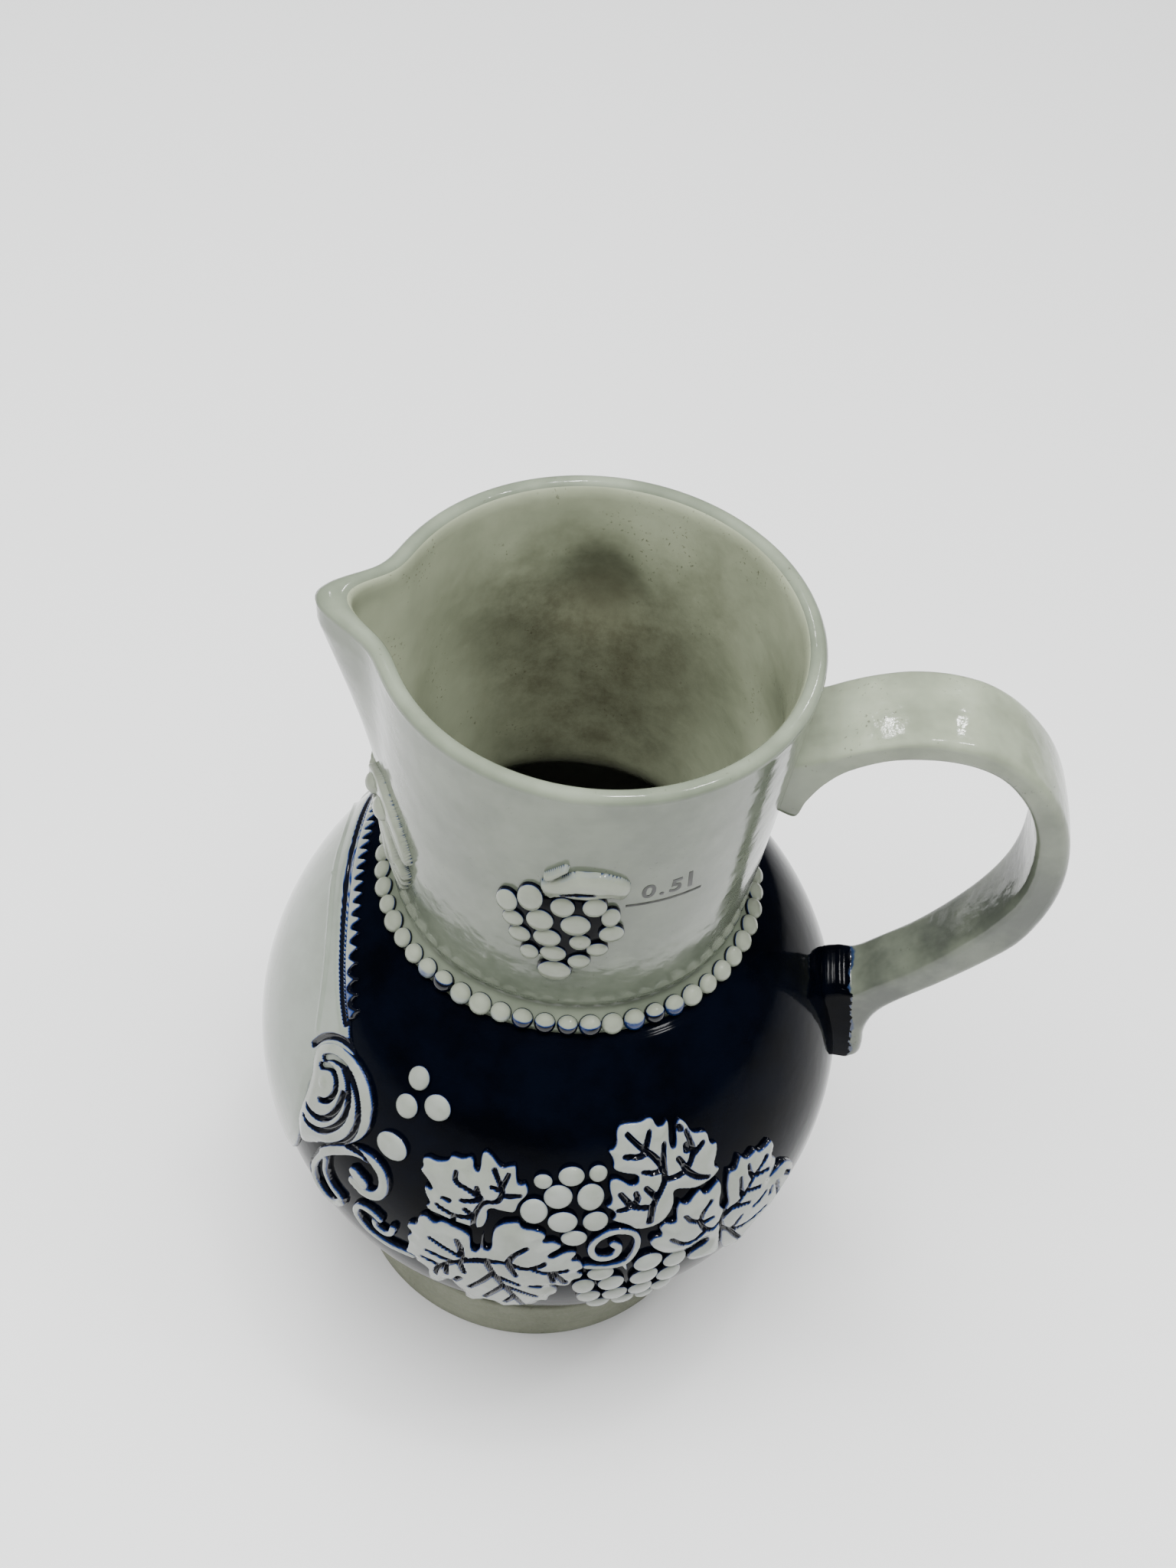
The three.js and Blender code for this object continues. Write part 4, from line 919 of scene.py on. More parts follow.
# Outlines, veins and bands are (degrees round the belly, per cent up its wall)
vine = {
    "leaf_left": {
        "outline": ((-99.3, 62.5), (-98.4, 65.3), (-98.9, 68.1), (-95.5, 67.6), (-93.4, 68.0), (-93.2, 70.2),
            (-91.3, 72.6), (-92.4, 74.9), (-93.8, 74.0), (-94.3, 76.0), (-94.6, 78.0), (-96.3, 77.7),
            (-97.5, 76.9), (-99.5, 78.7), (-101.5, 79.6), (-102.3, 78.6), (-101.9, 75.0), (-102.8, 75.5),
            (-103.0, 77.0), (-104.3, 77.7), (-105.5, 76.6), (-108.4, 76.6), (-108.2, 75.3), (-110.5, 74.2),
            (-112.5, 74.4), (-113.8, 73.5), (-113.0, 71.7), (-113.8, 71.0), (-111.3, 69.4), (-110.0, 67.8),
            (-112.1, 68.4), (-111.6, 66.5), (-110.0, 64.6), (-111.1, 63.9), (-110.2, 62.8), (-106.5, 62.6),
            (-103.0, 62.4)),
        "veins": (((-100.9, 61.0), (-101.3, 66.0), (-100.0, 69.6), (-97.5, 69.9), (-96.5, 71.8),
            (-97.1, 73.8), (-98.9, 76.4)), ((-96.8, 73.5), (-96.0, 76.0)), ((-96.7, 72.6), (-98.8, 73.0)),
            ((-96.5, 71.8), (-93.3, 72.1)), ((-100.5, 70.2), (-103.0, 71.2), (-106.0, 71.9), (-106.1, 74.0)),
            ((-101.0, 70.6), (-101.6, 72.1)), ((-100.6, 70.0), (-102.0, 69.0), (-104.0, 68.5)),
            ((-101.4, 66.0), (-103.1, 66.8)), ((-101.6, 65.4), (-105.0, 64.5), (-108.5, 65.6)),
            ((-105.0, 64.4), (-105.0, 62.6)), ((-106.4, 67.6), (-107.6, 67.6))),
        "vein": 0.33, "dark": 1.0},
    "leaf_top": {
        "outline": ((-76.3, 75.9), (-76.4, 73.5), (-75.5, 70.8), (-77.4, 70.0), (-75.6, 69.0), (-74.7, 67.6),
            (-76.2, 66.8), (-72.2, 64.9), (-71.2, 63.6), (-69.0, 63.0), (-66.0, 63.3), (-64.0, 65.0),
            (-63.0, 67.0), (-62.8, 68.8), (-63.0, 70.4), (-61.5, 70.0), (-59.0, 69.0), (-56.0, 69.1),
            (-53.5, 70.0), (-52.4, 71.3), (-54.0, 72.2), (-52.8, 74.8), (-52.4, 77.0), (-54.2, 77.0),
            (-54.4, 80.1), (-56.0, 80.4), (-58.0, 81.0), (-59.0, 83.5), (-60.6, 84.8), (-61.9, 83.3),
            (-62.0, 80.3), (-62.5, 79.1), (-63.2, 80.2), (-62.8, 84.7), (-63.5, 85.2), (-64.6, 84.2),
            (-65.7, 84.4), (-66.3, 86.2), (-68.0, 86.5), (-69.5, 85.9), (-73.0, 86.4), (-74.9, 85.7),
            (-74.9, 81.7), (-77.0, 81.6), (-75.4, 79.2), (-75.8, 77.4), (-73.0, 76.2), (-70.5, 75.6),
            (-70.4, 74.1), (-71.8, 73.8), (-73.2, 75.2), (-74.6, 75.9)),
        "veins": (((-68.2, 65.3), (-67.8, 69.0), (-66.0, 72.0), (-65.0, 74.0), (-65.4, 77.5), (-64.8, 80.8)),
            ((-65.3, 76.3), (-67.0, 79.0), (-69.5, 81.0), (-72.5, 84.1)), ((-69.0, 80.6), (-67.8, 83.8)),
            ((-68.6, 80.1), (-70.5, 79.6), (-73.1, 80.1)), ((-65.4, 76.0), (-67.5, 75.8), (-69.3, 76.3)),
            ((-65.0, 73.8), (-62.0, 73.8), (-60.0, 74.8), (-58.5, 78.0), (-59.6, 81.7)), ((-58.7, 77.2),
            (-56.3, 78.4)), ((-60.6, 74.4), (-61.2, 76.0), (-62.0, 77.2)), ((-60.3, 74.0), (-58.5, 72.1),
            (-55.8, 70.8)), ((-67.8, 68.7), (-70.0, 69.0), (-72.0, 69.8), (-74.2, 69.0)), ((-72.0, 70.0),
            (-74.0, 72.6)), ((-71.4, 70.1), (-70.6, 71.2), (-71.0, 72.2)), ((-67.0, 70.7), (-68.9, 72.9)),
            ((-60.1, 78.4), (-60.1, 79.4)), ((-60.7, 82.6), (-60.9, 83.0))),
        "vein": 0.46, "dark": 1.0},
    "leaf_large": {
        "outline": ((-98.3, 57.2), (-97.4, 58.2), (-97.7, 61.4), (-97.4, 63.6), (-96.2, 65.2), (-94.5, 65.8),
            (-92.6, 66.3), (-92.0, 64.7), (-90.0, 64.9), (-88.0, 64.3), (-87.1, 63.2), (-88.0, 61.8),
            (-86.6, 62.2), (-85.3, 62.0), (-83.8, 60.8), (-86.6, 58.4), (-86.2, 57.5), (-84.2, 59.3),
            (-82.4, 59.9), (-81.0, 59.1), (-82.4, 56.8), (-80.9, 57.2), (-79.3, 54.4), (-81.1, 53.3),
            (-79.3, 52.4), (-80.0, 50.6), (-81.3, 50.5), (-81.5, 48.8), (-82.6, 47.9), (-85.6, 48.4),
            (-84.0, 47.2), (-83.7, 45.0), (-85.2, 43.6), (-85.2, 40.3), (-86.8, 41.0), (-87.3, 38.8),
            (-88.6, 36.6), (-91.0, 36.2), (-93.0, 33.6), (-95.4, 34.0), (-97.0, 37.8), (-98.6, 33.8),
            (-102.6, 33.0), (-101.8, 37.4), (-104.2, 41.6), (-104.8, 43.2), (-106.4, 39.2), (-109.4, 37.6),
            (-109.6, 42.0), (-109.3, 44.4), (-112.2, 45.6), (-111.8, 47.0), (-114.4, 46.9), (-113.7, 49.2),
            (-113.5, 51.4), (-114.0, 53.0), (-112.7, 54.8), (-114.2, 56.0), (-113.7, 57.4), (-112.0, 57.9),
            (-112.1, 60.4), (-110.4, 61.8), (-108.6, 60.2), (-107.4, 61.9), (-104.5, 61.3), (-101.4, 60.6),
            (-101.0, 58.5), (-100.8, 56.3), (-100.0, 56.4), (-99.5, 58.0), (-99.4, 61.5), (-98.9, 61.3),
            (-98.8, 58.6)),
        "veins": (((-98.0, 55.0), (-96.5, 51.5), (-94.5, 47.8), (-92.0, 43.5), (-89.5, 37.2)), ((-96.4, 51.2),
            (-98.4, 47.4), (-100.6, 43.6)), ((-94.3, 47.2), (-96.0, 43.8), (-97.6, 40.4)), ((-92.0, 43.2),
            (-93.6, 39.4)), ((-95.2, 50.4), (-91.5, 48.6)), ((-93.6, 47.3), (-88.0, 44.4)), ((-98.0, 55.0),
            (-101.5, 53.6), (-103.5, 52.0), (-106.0, 49.5), (-107.2, 47.0), (-107.5, 44.5)), ((-101.2, 53.7),
            (-105.0, 55.0), (-108.8, 56.6)), ((-102.6, 54.6), (-102.8, 56.6), (-103.8, 58.6)),
            ((-104.0, 51.7), (-106.5, 52.0), (-109.2, 52.4)), ((-106.3, 48.9), (-110.0, 49.5)),
            ((-102.8, 52.2), (-101.8, 49.2)), ((-105.4, 49.9), (-105.2, 46.6)), ((-98.0, 55.0), (-94.0, 55.6),
            (-91.5, 54.5), (-89.5, 54.6), (-87.5, 53.6), (-85.5, 53.9), (-83.0, 54.6)), ((-93.9, 55.6),
            (-93.2, 58.0), (-90.8, 60.4)), ((-93.9, 55.2), (-92.2, 51.9)), ((-89.7, 54.6), (-87.3, 56.3)),
            ((-86.0, 53.6), (-85.2, 50.5)), ((-85.4, 53.5), (-84.0, 52.0), (-82.9, 49.9)), ((-87.6, 48.6),
            (-89.2, 48.5)), ((-102.6, 46.5), (-103.6, 44.6))),
        "vein": 0.42, "dark": 0.9},
    "leaf_middle": {
        "outline": ((-66.4, 62.6), (-65.2, 60.0), (-66.9, 60.4), (-68.0, 59.2), (-67.3, 57.4), (-66.0, 55.8),
            (-64.0, 54.0), (-61.5, 52.9), (-59.0, 52.8), (-57.2, 53.7), (-55.4, 54.1), (-54.6, 52.4),
            (-56.2, 51.6), (-58.0, 51.4), (-59.2, 49.2), (-57.6, 47.2), (-54.6, 45.8), (-51.6, 44.8),
            (-50.4, 46.0), (-51.4, 50.0), (-52.0, 54.5), (-52.6, 57.5), (-51.6, 60.4), (-52.3, 61.0),
            (-53.0, 62.6), (-52.4, 65.5), (-52.5, 67.6), (-53.3, 69.0), (-56.3, 66.3), (-57.2, 68.8),
            (-58.9, 67.8), (-60.6, 66.0), (-61.9, 68.0), (-62.9, 65.2), (-62.5, 62.2), (-64.8, 63.8)),
        "veins": (((-52.8, 57.2), (-54.5, 56.8), (-56.5, 58.0), (-57.5, 60.0), (-57.8, 61.5), (-57.0, 63.5),
            (-55.4, 64.9)), ((-57.5, 60.4), (-55.0, 60.5)), ((-57.7, 60.9), (-59.7, 62.0), (-60.8, 63.7)),
            ((-56.8, 57.4), (-58.5, 56.0), (-61.0, 56.2), (-63.5, 58.9)), ((-52.0, 54.4), (-51.5, 51.0),
            (-50.6, 46.0))),
        "vein": 0.36, "dark": 0.85},
    "leaf_right": {
        "outline": ((-51.0, 61.2), (-51.6, 64.0), (-51.4, 67.4), (-50.8, 69.4), (-49.2, 68.6), (-48.7, 69.8),
            (-47.6, 71.6), (-46.2, 69.2), (-44.6, 69.8), (-43.5, 70.4), (-42.8, 68.7), (-40.5, 69.0),
            (-39.1, 69.5), (-38.5, 67.4), (-39.6, 65.4), (-38.0, 64.2), (-38.8, 61.5), (-40.4, 60.0),
            (-37.5, 60.3), (-35.5, 60.6), (-33.3, 58.8), (-31.8, 56.4), (-32.4, 53.6), (-35.2, 52.0),
            (-37.4, 49.4), (-40.2, 48.6), (-42.4, 47.2), (-43.6, 44.0), (-46.6, 42.6), (-49.0, 43.8),
            (-50.4, 46.0), (-51.4, 50.0), (-52.0, 54.5), (-52.6, 57.5), (-51.6, 60.4)),
        "veins": (((-52.7, 57.4), (-51.0, 59.5), (-49.0, 60.3), (-47.0, 62.5), (-45.2, 65.0), (-41.5, 67.1)),
            ((-48.0, 61.4), (-48.5, 63.4), (-48.4, 66.5)), ((-45.4, 64.8), (-46.2, 66.4), (-46.1, 67.9)),
            ((-45.3, 64.8), (-41.4, 63.8)), ((-47.2, 62.2), (-43.6, 60.9)), ((-49.7, 59.9), (-46.2, 58.5)),
            ((-52.7, 57.4), (-52.0, 54.6), (-50.0, 53.0), (-48.7, 50.5), (-46.2, 46.4)), ((-49.8, 53.0),
            (-46.0, 51.4), (-40.8, 52.3)), ((-49.7, 53.6), (-47.8, 55.9)), ((-44.6, 56.3), (-43.4, 56.5),
            (-41.8, 57.9)), ((-40.2, 55.9), (-40.0, 57.6)), ((-38.4, 57.6), (-37.4, 53.2)), ((-35.8, 57.8),
            (-34.0, 56.0)), ((-41.8, 47.4), (-39.8, 49.6))),
        "vein": 0.36, "dark": 0.85}}

scrolls = {
    "scroll_upper": {
        "outline": ((-145.6, 76.6), (-144.4, 79.0), (-141.4, 81.4), (-137.0, 82.2), (-132.4, 81.6),
            (-128.6, 79.6), (-126.2, 76.2), (-125.6, 72.0), (-126.8, 69.0), (-129.2, 66.0), (-131.2, 63.4),
            (-134.0, 61.0), (-137.0, 59.4), (-139.4, 56.4), (-142.0, 55.0), (-143.6, 58.6), (-143.8, 62.0),
            (-143.2, 67.0), (-143.6, 71.6), (-145.2, 74.4)),
        "grooves": (((-141.6, 77.4), (-140.0, 79.0), (-136.5, 79.7), (-133.0, 79.0), (-130.0, 76.5),
            (-128.3, 73.0), (-128.6, 69.5), (-130.0, 66.2), (-133.0, 62.8), (-136.0, 60.2)), ((-136.0, 79.2),
            (-133.5, 77.6), (-131.7, 74.5), (-131.5, 71.0), (-133.0, 67.5), (-136.0, 64.0), (-139.5, 62.5),
            (-141.4, 62.9)), ((-133.8, 75.2), (-133.6, 71.5), (-135.5, 67.5), (-138.5, 65.6), (-141.4, 65.7)),
            ((-141.5, 75.6), (-139.6, 77.1), (-137.5, 77.0), (-136.0, 75.5), (-135.7, 73.3), (-136.7, 71.0),
            (-138.6, 69.8))),
        "groove": 0.5, "knobs": ((-139.4, 73.4, 2.1, 0.3),)},
    "scroll_middle": {
        "bands": ((((-124.6, 60.0), (-126.8, 61.0)), 1.5, 1.2), (((-126.6, 58.6), (-123.6, 58.0),
            (-120.9, 59.4), (-119.8, 62.4), (-121.0, 65.5), (-124.0, 66.6), (-127.6, 65.8), (-131.0, 63.2),
            (-134.4, 59.6), (-136.6, 55.6), (-138.0, 50.6), (-137.4, 46.6), (-134.6, 44.8), (-131.6, 45.8),
            (-129.6, 48.6)), 1.25, 1.0), (((-134.2, 57.8), (-134.0, 54.0), (-132.2, 51.2), (-129.6, 49.8)),
            0.7, 0.8)),
        "grooves": (((-129.6, 65.8), (-126.5, 66.8), (-124.0, 66.3), (-123.0, 65.3)), ((-136.2, 58.4),
            (-138.4, 52.6), (-138.4, 49.0))),
        "groove": 0.26},
    "scroll_lower": {
        "bands": ((((-112.6, 46.6), (-118.0, 45.7), (-123.0, 46.6), (-125.5, 49.6), (-124.6, 52.9),
            (-121.8, 53.6), (-119.8, 52.9)), 0.95, 0.85), (((-121.0, 51.4), (-120.6, 49.9), (-118.8, 49.3),
            (-117.3, 50.5), (-116.8, 52.5)), 0.75, 0.85)),
        "grooves": (), "groove": 0.3},
    "tendril": {
        "bands": ((((-79.4, 54.8), (-75.5, 54.2), (-72.2, 54.6), (-70.5, 57.5), (-70.1, 60.6), (-71.4, 62.9),
            (-74.5, 63.8), (-77.6, 62.6), (-78.9, 60.2), (-78.2, 57.8), (-76.2, 56.8), (-74.3, 57.5),
            (-73.7, 59.3), (-74.8, 60.6)), 0.75, 0.9), (((-72.4, 54.6), (-71.4, 51.6)), 0.8, 0.3)),
        "grooves": (), "groove": 0.3}}

# Berries are (degrees, per cent up the wall, half width in degrees, half height in per cent)
bunches = {
    "grapes_upper": ((-89.2, 75.3, 1.9, 1.5), (-83.7, 76.6, 2.3, 1.7), (-78.4, 77.0, 1.7, 1.5),
        (-86.0, 72.3, 2.8, 2.5), (-79.7, 72.2, 2.4, 2.6), (-90.3, 68.8, 2.6, 2.7), (-84.7, 66.7, 2.9, 2.4),
        (-78.5, 66.7, 2.3, 2.1), (-82.3, 62.9, 2.5, 1.8)),
    "grapes_lower": ((-76.4, 51.8, 2.8, 2.4), (-67.3, 52.8, 2.8, 2.6), (-61.6, 50.8, 2.4, 2.5),
        (-79.2, 47.3, 2.0, 2.4), (-73.9, 47.4, 2.8, 2.8), (-67.4, 47.4, 2.9, 2.7), (-62.0, 45.4, 2.5, 2.7),
        (-77.6, 42.0, 2.5, 2.6), (-72.4, 41.9, 2.6, 2.6), (-67.2, 41.8, 2.6, 2.7), (-62.4, 39.8, 2.5, 2.6),
        (-75.0, 36.8, 2.5, 2.4), (-69.8, 36.6, 2.5, 2.4), (-65.0, 36.0, 2.4, 2.4)),
    "berry_trio_top": ((-119.7, 86.8, 2.7, 2.3),),
    "berry_trio_left": ((-120.0, 81.0, 2.7, 2.4),),
    "berry_trio_right": ((-113.5, 83.6, 3.2, 2.5),),
    "berry_single": ((-120.3, 72.1, 3.7, 2.8),)}

sides = (("near", 1), ("far", -1))


def onBothSides(name, ending, make):
    for word, side in sides:
        settle(make(f"{name}_{word}_{ending}", side), "relief_glaze", f"{name}_{word}")


def pressOn(name, form, span):
    onBothSides(name, "sprig", lambda label, side: sprig(label, bellyPlace, span, form, reliefFinish, side))


def makeVine(d):
    for name, leaf in vine.items():
        veins = [(path, leaf["vein"]) for path in leaf["veins"]]
        pressOn(name, *sprigForm((leaf["outline"],), (), veins, d["leaf"], leaf["dark"]))
    print("jug: leaves pressed")
    for name, scroll in scrolls.items():
        outlines = (scroll["outline"],) if "outline" in scroll else ()
        grooves = [(path, scroll["groove"]) for path in scroll["grooves"]]
        pressOn(name, *sprigForm(outlines, scroll.get("bands", ()), grooves, d["scroll"],
                                 knobs=scroll.get("knobs", ())))
    print("jug: scrolls pressed")
    for name, berries in bunches.items():
        grow = d["swell"] if len(berries) > 1 else 1.0
        full = [(a, p, wide * grow, tall * grow) for a, p, wide, tall in berries]
        onBothSides(name, "domes", lambda label, side: domesOnWall(
            label, onBelly, full, side, d["berry"], reliefFinish, gap=d["gap"], Blue_Edge=0.36, Flat=0.5))
    print("jug: berries set")


makeVine(sprigDims)


# Panel under the lip, with its pinked edging

panelDims = {"lift": 0.92,
             "line": ((0, 95.3), (8, 95.0), (15, 94.1), (22, 92.3), (28.5, 89.7), (33, 87.4), (38, 84.8)),
             "side": ((40.5, 83.6), (45.0, 82.0), (43.0, 77.0), (36.5, 71), (37.2, 65), (37.6, 60),
                      (36.6, 52), (33, 44), (26, 36), (15, 31), (0.01, 29)),
             "arc": ((33.4, 76.2), (34.8, 79.6), (38.4, 82.4), (43.0, 83.0), (46.6, 82.0)),
             "ridge": ((0, 91.8), (8, 91.5), (13, 90.9), (19, 89.3), (24.5, 86.8), (29, 83.2), (32.5, 78.8)),
             "rise": 0.34, "border": 1.2, "lineGroove": 0.35, "arcGroove": 0.5, "fieldStep": 0.35,
             "teeth": 23, "gap": 0.7, "band": 1.25, "tooth": 1.7, "proud": 0.15, "teethStep": 0.25,
             "blue": (24, 35)}                         # degrees off the lip where cobalt runs over the teeth


def bothWays(half):
    # degrees off the lip's middle, one way round and the other
    return [(-180 + a, p) for a, p in half], [(-180 - a, p) for a, p in half]


def mirrored(half):
    # one line across the lip's middle
    right, left = bothWays(half)
    return [point for point in left[::-1] if point[0] < -180] + right


def makePanel(d):
    line = mirrored(d["line"])
    edge = [(a, p + d["border"]) for a, p in line]
    around = mirrored(d["side"])
    outline = edge + [q for q in around if q[0] >= -180] + [q for q in around if q[0] < -180]
    grooves = [(line, d["lineGroove"])] + [(arc, d["arcGroove"]) for arc in bothWays(d["arc"])]
    plain, span = sprigForm((outline,), (), grooves, d["lift"])
    ridges = [rounded(flat(ridge), False) for ridge in bothWays(d["ridge"])]

    def field(grid):
        height, tone = plain(grid)
        for ridge in ridges:
            near = 1 - smoothStep(distanceTo(grid, ridge)[0], 0.1, 0.6)
            height = height + d["rise"] * near * (height > 0.6)
        return height, tone

    piece = sprig("panelField", bellyPlace, span, field, panelFinish, 1, d["fieldStep"])
    settle(piece, "relief_glaze", "panel")
    run = flat(spline([(a, p + d["gap"]) for a, p in line], 10 * d["teeth"] + 1))
    ahead = np.gradient(run, axis=0)
    deg, up = run[:, 0] / degreeLength, run[:, 1] / percentLength
    wide, tall = spread(onBelly, deg, up, 0.5, 0.5)
    wide, tall = wide / degreeLength, tall / percentLength
    out = np.stack((-ahead[:, 1] * tall, ahead[:, 0] * wide), 1)      # square to the line on the wall itself
    out /= np.linalg.norm(out, axis=1)[:, None] * np.stack((wide, tall), 1)
    length = np.concatenate(([0], np.cumsum(np.linalg.norm(np.diff(run, axis=0), axis=1))))
    wave = 0.5 - 0.5 * np.cos(length / length[-1] * d["teeth"] * 2 * math.pi)
    pinked = run + out * (d["band"] + d["tooth"] * wave)[:, None]
    outline = np.vstack((run, pinked[::-1])) / (degreeLength, percentLength)
    scallops, span = sprigForm((outline,), (), (), d["lift"] + d["proud"])

    def form(grid):
        height, tone = scallops(grid)
        off = np.abs(grid[:, 0] / degreeLength + 180)
        return height, tone - 0.5 * smoothStep(off, *d["blue"])

    piece = sprig("panelTeeth", bellyPlace, span, form, reliefFinish, 1, d["teethStep"])
    settle(piece, "relief_glaze", "panel_edging")


makePanel(panelDims)
print("jug: panel and edging pressed")


# Bunch on each side of the neck, and the sprig below the lip

neckDegree = 0.56                                      # mm

# Places on the neck are (degrees, height in mm)
neckBunch = {
    "berries": ((-92.3, 129.7, 3.1, 2.1), (-84.0, 130.4, 3.8, 2.5), (-101.0, 130.6, 3.9, 3.3),
        (-97.9, 125.4, 4.2, 2.7), (-88.3, 125.3, 4.3, 2.5), (-95.5, 121.1, 4.4, 2.3),
        (-86.5, 120.8, 3.8, 2.2), (-93.4, 117.0, 4.9, 2.4), (-92.5, 112.3, 4.9, 2.3),
        (-107.2, 128.2, 3.5, 2.8), (-105.2, 124.1, 3.5, 2.0), (-103.1, 120.4, 3.6, 2.0),
        (-100.0, 116.2, 3.5, 2.2), (-79.3, 127.5, 3.5, 2.9), (-78.4, 123.2, 4.3, 2.4),
        (-81.5, 118.9, 3.8, 1.9), (-86.0, 115.4, 3.7, 1.9)),
    "stalk": ((-99.2, 135.0), (-98.4, 133.0), (-96.0, 131.4), (-94.0, 132.4), (-91.0, 132.4), (-87.0, 132.0),
        (-81.0, 133.1), (-77.0, 131.8), (-74.8, 134.5), (-76.0, 136.4), (-81.0, 138.1), (-86.0, 138.7),
        (-91.0, 138.5), (-94.0, 136.6), (-97.0, 136.0)),
    "slit": ((-92.5, 133.4), (-90.0, 134.3), (-85.2, 134.4)),
    "knob": ((-96.8, 136.6), (-92.8, 139.2)),
    "ground": ((-107.2, 128.2), (-105.2, 124.1), (-103.1, 120.4), (-100, 116.2), (-92.5, 112.8), (-86, 115.4),
        (-81.5, 118.9), (-78.5, 123.3), (-79.8, 127.5), (-84, 131.4), (-92.3, 131.7), (-101, 130.6)),
    "lift": 1.4, "swell": 1.25, "gap": -0.15}

# Blades are (path in degrees off the lip and height, half width, lift)
lipSprig = {
    "blades": (
        (((8, 122.8), (19, 124.6), (29, 123.4), (36.8, 119.0)), 3.1, 1.4),
        (((14, 120.4), (22, 121.4), (27, 119.2), (31.6, 115.6)), 2.0, 2.0),
        (((27, 116.8), (32, 116.0), (36, 114.4)), 1.2, 1.7),
        (((25, 114.4), (31, 113.6), (35, 112.2)), 1.2, 1.5),
        (((23, 111.9), (28, 111.3), (33, 109.8)), 1.1, 1.3),
        (((10, 118.6), (17, 116.4), (23.5, 111.4)), 2.0, 1.6),
        (((2, 120.2), (8, 120.6), (14, 120.8)), 1.3, 1.6),
        (((5, 116.6), (11, 113.0), (15, 107.4)), 2.0, 1.3),
        (((0, 119.6), (0, 114), (0, 105.5)), 2.2, 1.7)),
    "buds": ((20.5, 122.9, 4.4, 2.2), (11.5, 123.2, 3.8, 1.8)),
    "lift": 2.6, "step": 0.2, "span": (-222, -138, 104, 131)}


def neckPlace(u, v, lift, side):
    return onNeck(side * u / neckDegree, v, lift)


def neckForm(outlines, bands, grooves, lift):
    # the sprig maker works in belly units, so neck heights are turned into them
    fit = np.array((neckDegree / degreeLength, 1 / percentLength))

    def scaled(points):
        return np.asarray(points, float) * fit

    return sprigForm([scaled(o) for o in outlines], [(scaled(p), a, b) for p, a, b in bands],
                     [(scaled(g), w) for g, w in grooves], lift)


def joinMeshes(name, pieces):
    with bpy.context.temp_override(active_object=pieces[0], object=pieces[0], selected_objects=pieces,
                                   selected_editable_objects=pieces):
        bpy.ops.object.join()
    pieces[0].name = pieces[0].data.name = name
    return pieces[0]


def makeNeckRelief(b, s):
    stem, span = neckForm((b["stalk"],), ((b["knob"], 0.9, 0.7),), ((b["slit"], 0.35),), 1.6)
    slit = np.asarray(b["slit"]) * (neckDegree, 1)

    def form(grid):
        height, tone = stem(grid)
        return height, np.where(distanceTo(grid, slit)[0] < 0.7, tone, np.maximum(tone, 0.66))

    ground, groundSpan = neckForm((b["ground"],), (), (), 0.5)

    def pooledAndShaded(grid):
        height, tone = ground(grid)
        return height, 0 * tone                       # cobalt left lying between the berries

    for word, side in sides:
        full = [(a, z, wide * b["swell"], tall * b["swell"]) for a, z, wide, tall in b["berries"]]
        domes = domesOnWall(f"neckBunch_{word}", onNeck, full, side, b["lift"], neckReliefFinish,
                            gap=b["gap"], Blue_Edge=0.5, Flat=0.4)
        stalk = sprig(f"stalk_{word}", neckPlace, span, form, neckReliefFinish, side)
        bed = sprig(f"bed_{word}", neckPlace, groundSpan, pooledAndShaded, cobaltFinish, side)
        settle(joinMeshes(f"neckBunch_{word}", [domes, stalk, bed]), "relief_glaze", f"neck_grapes_{word}")
    buds = [(-180 + way * a, z, wide, tall) for a, z, wide, tall in s["buds"] for way in (1, -1)]
    blades = [(rounded(np.array([((-180 + way * a) * neckDegree, z) for a, z in path]), False), wide, high)
              for path, wide, high in s["blades"] for way in (1, -1)]

    def spray(grid):
        height = np.full(len(grid), -0.9)
        for path, wide, high in blades:
            d, t = distanceTo(grid, path)
            reach = wide * np.sin(math.pi * (0.16 + 0.82 * t)) ** 0.7
            vein = 0.3 * (1 - smoothStep(d, 0.05, 0.35))
            leaf = high * (0.6 + 0.4 * np.sqrt(np.clip(1 - (d / reach) ** 2, 0, 1))) - vein
            fall = smoothStep(d, reach - 0.35, reach + 0.05)
            height = np.maximum(height, leaf * (1 - fall) - 0.8 * fall)
        return height, np.full(len(grid), 0.9)        # no cobalt up here

    bare = np.full(len(buds), -1.0)
    domes = domesOnWall("lipSprig", onNeck, buds, 1, s["lift"], neckReliefFinish, tint=bare)
    area = (s["span"][0] * neckDegree, s["span"][1] * neckDegree, *s["span"][2:])
    leaves = sprig("lipSpray", neckPlace, area, spray, neckReliefFinish, 1, s["step"])
    settle(joinMeshes("lipSprig", [domes, leaves]), "relief_glaze", "neck_sprig")


makeNeckRelief(neckBunch, lipSprig)
print("jug: neck relief set")


# Fill mark: a line and its measure, a dark inlay in the glaze

markDims = {"line": (-75.5, -53.5, 129.4), "wide": 0.48, "base": 131.0, "deep": 0.12, "bold": 0.09,
            "spacing": 1.25, "proud": 0.06, "sunk": 0.2, "count": 40,
            "words": (("0.5", -71.8, 4.5, 0.0), ("l", -58.6, 5.6, -0.12)),
            "dark": (0.016, 0.017, 0.016, 1), "worn": (0.045, 0.047, 0.042, 1)}


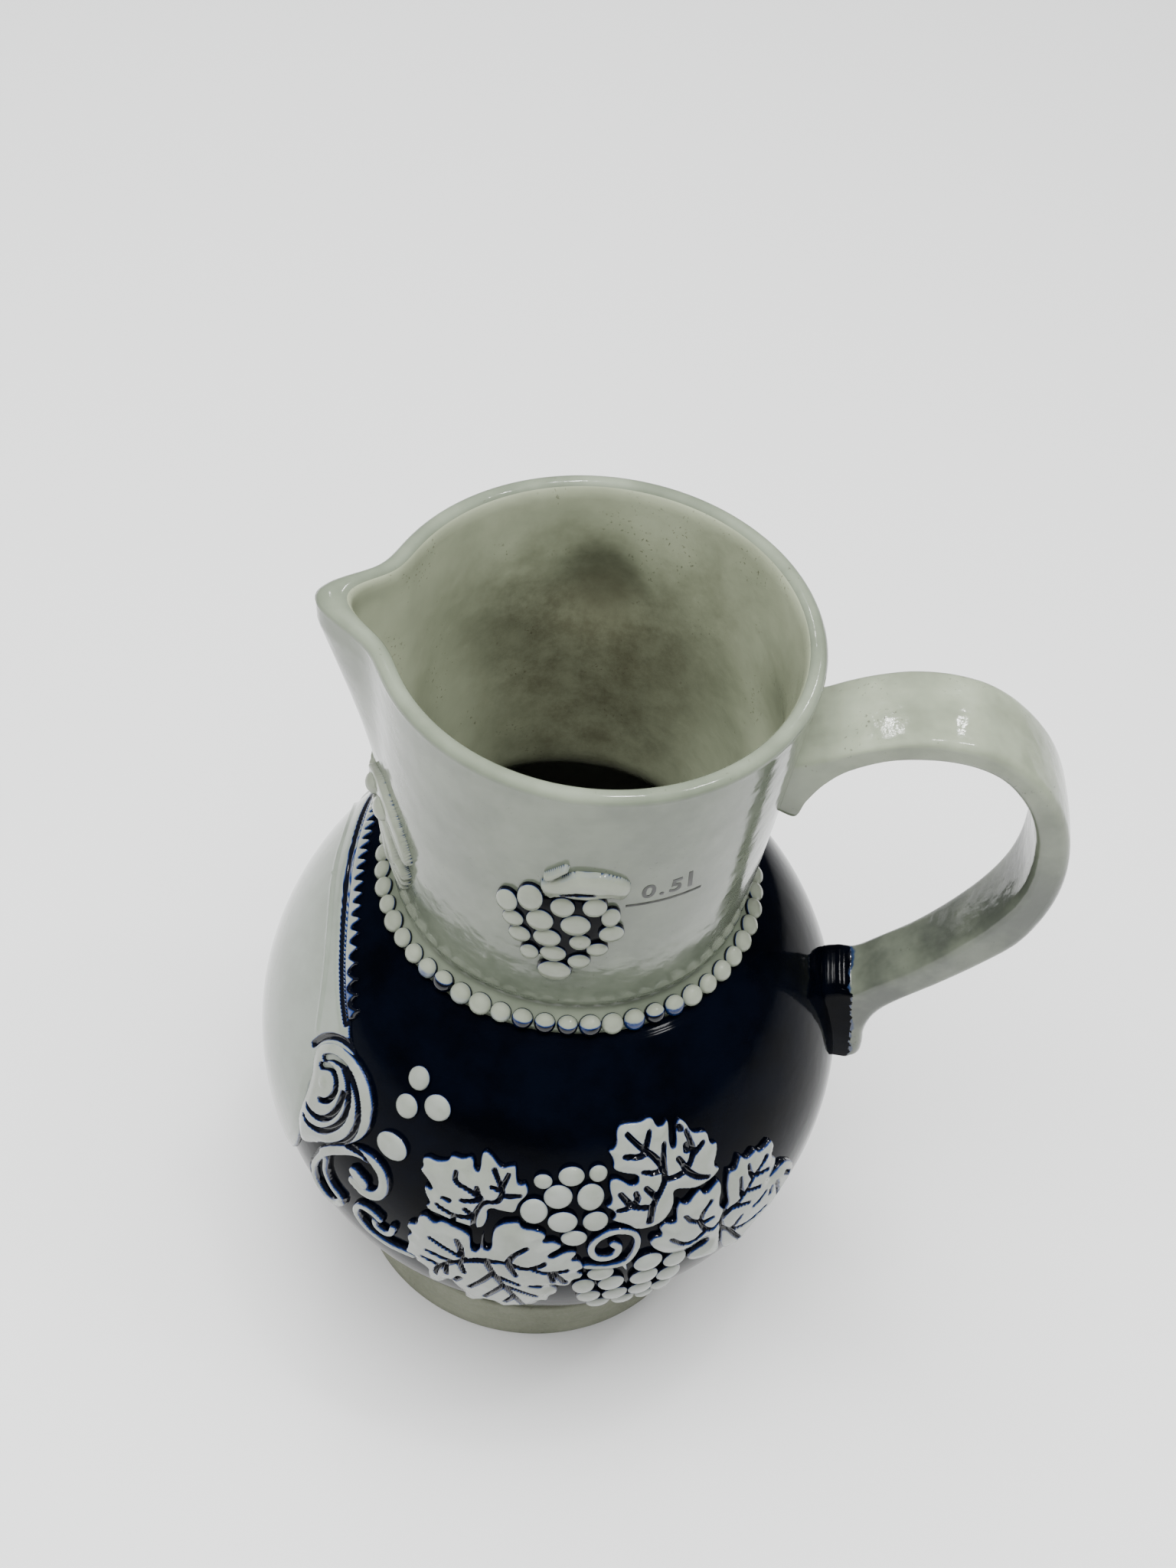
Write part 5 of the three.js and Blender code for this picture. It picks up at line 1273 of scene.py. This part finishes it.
def makeMark(d):
    material, tree, shader, where = newFinish("scoredMark")
    worn = fade(tree, noise(tree, where, 500.0, 3.0), 0.35, 0.65)
    feed(tree, shader, Base_Color=blendColour(tree, worn, d["dark"], d["worn"]),
         Roughness=fade(tree, worn, 0, 1, 0.4, 0.6))
    pieces = []
    for word, left, size, slant in d["words"]:
        text = bpy.data.curves.new("fillMark", "FONT")
        text.body, text.size, text.shear = word, size, slant
        text.extrude, text.offset, text.space_character = d["deep"], d["bold"], d["spacing"]
        mesh = meshOf(addObject("fillWords", text))
        co = np.array([v.co[:] for v in mesh.vertices])
        lift = co[:, 2] + d["proud"] - d["deep"]
        spots = onNeck(left + co[:, 0] / neckDegree, d["base"] + co[:, 1], lift)
        mesh.vertices.foreach_set("co", (spots * mm).ravel())
        mesh.materials.clear()
        mesh.materials.append(material)
        pieces.append(addObject("fillWords", mesh))
    start, end, z = d["line"]
    run, half = np.linspace(start, end, d["count"]), d["wide"] / 2
    rows = [onNeck(run, z + dz, np.full(len(run), lift)) for dz, lift in
            ((-half, -d["sunk"]), (-half, d["proud"]), (half, d["proud"]), (half, -d["sunk"]))]
    points = np.stack(rows, 1).reshape(-1, 3)
    faces = [(i + j, i + 4 + j, i + 4 + (j + 1) % 4, i + (j + 1) % 4)
             for i in range(0, len(points) - 4, 4) for j in range(4)]
    faces += [(0, 1, 2, 3), tuple(range(len(points) - 1, len(points) - 5, -1))]
    line = meshFrom("fillLine", points, faces, (material,))
    settle(joinMeshes("fillMark", [line] + pieces), "grey_glaze")


makeMark(markDims)
print("jug: fill mark scored")


# Floor and soft studio light

studio = {"floor": (0.58, 0.584, 0.582, 1), "half": 3000, "air": (0.97, 0.985, 1.0, 1), "airStrength": 0.2,
          "aim": (0, 0, 0.08), "lights": (
              # name, place, width, power, seen in the glaze
              ("topSoft", (-0.05, -0.1, 1.15), 1.1, 57.0, False),
              ("leftSoft", (-1.1, -0.25, 0.75), 0.9, 3.4, False),
              ("frontSoft", (0.1, -1.2, 0.9), 1.1, 5.4, False),
              ("sparkBack", (0.35, 0.555, 0.785), 0.045, 0.7, True),
              ("sparkLeft", (-0.27, 0.55, 0.775), 0.04, 0.5, True),
              ("sparkOver", (0.12, 0.02, 1.0), 0.06, 1.4, True),
              ("sparkRight", (0.42, -0.05, 0.95), 0.06, 1.2, True))}


def makeStudio(s):
    material, tree, shader, where = newFinish("studioFloor")
    tint = fade(tree, noise(tree, where, 3.0, 2.0), 0.2, 0.8)
    dusty = tuple(0.985 * c for c in s["floor"])
    feed(tree, shader, Base_Color=blendColour(tree, tint, s["floor"], dusty), Roughness=0.55)
    corners = [(x * s["half"], y * s["half"], 0) for x, y in ((-1, -1), (1, -1), (1, 1), (-1, 1))]
    floor = meshFrom("studioFloor", corners, ((0, 1, 2, 3),), (material,))
    world = bpy.data.worlds.new("studioAir")
    world.use_nodes = True
    air = next(n for n in world.node_tree.nodes if n.type == "BACKGROUND")
    air.inputs["Color"].default_value, air.inputs["Strength"].default_value = s["air"], s["airStrength"]
    scene.world = world
    for name, place, size, power, seen in s["lights"]:
        data = bpy.data.lights.new(name, "AREA")
        data.size, data.energy = size, power
        lamp = addObject(name, data)
        lamp.location, lamp.visible_glossy = place, seen
        lamp.rotation_euler = (Vector(s["aim"]) - Vector(place)).to_track_quat("-Z", "Y").to_euler()


makeStudio(studio)
print("jug: studio lit")
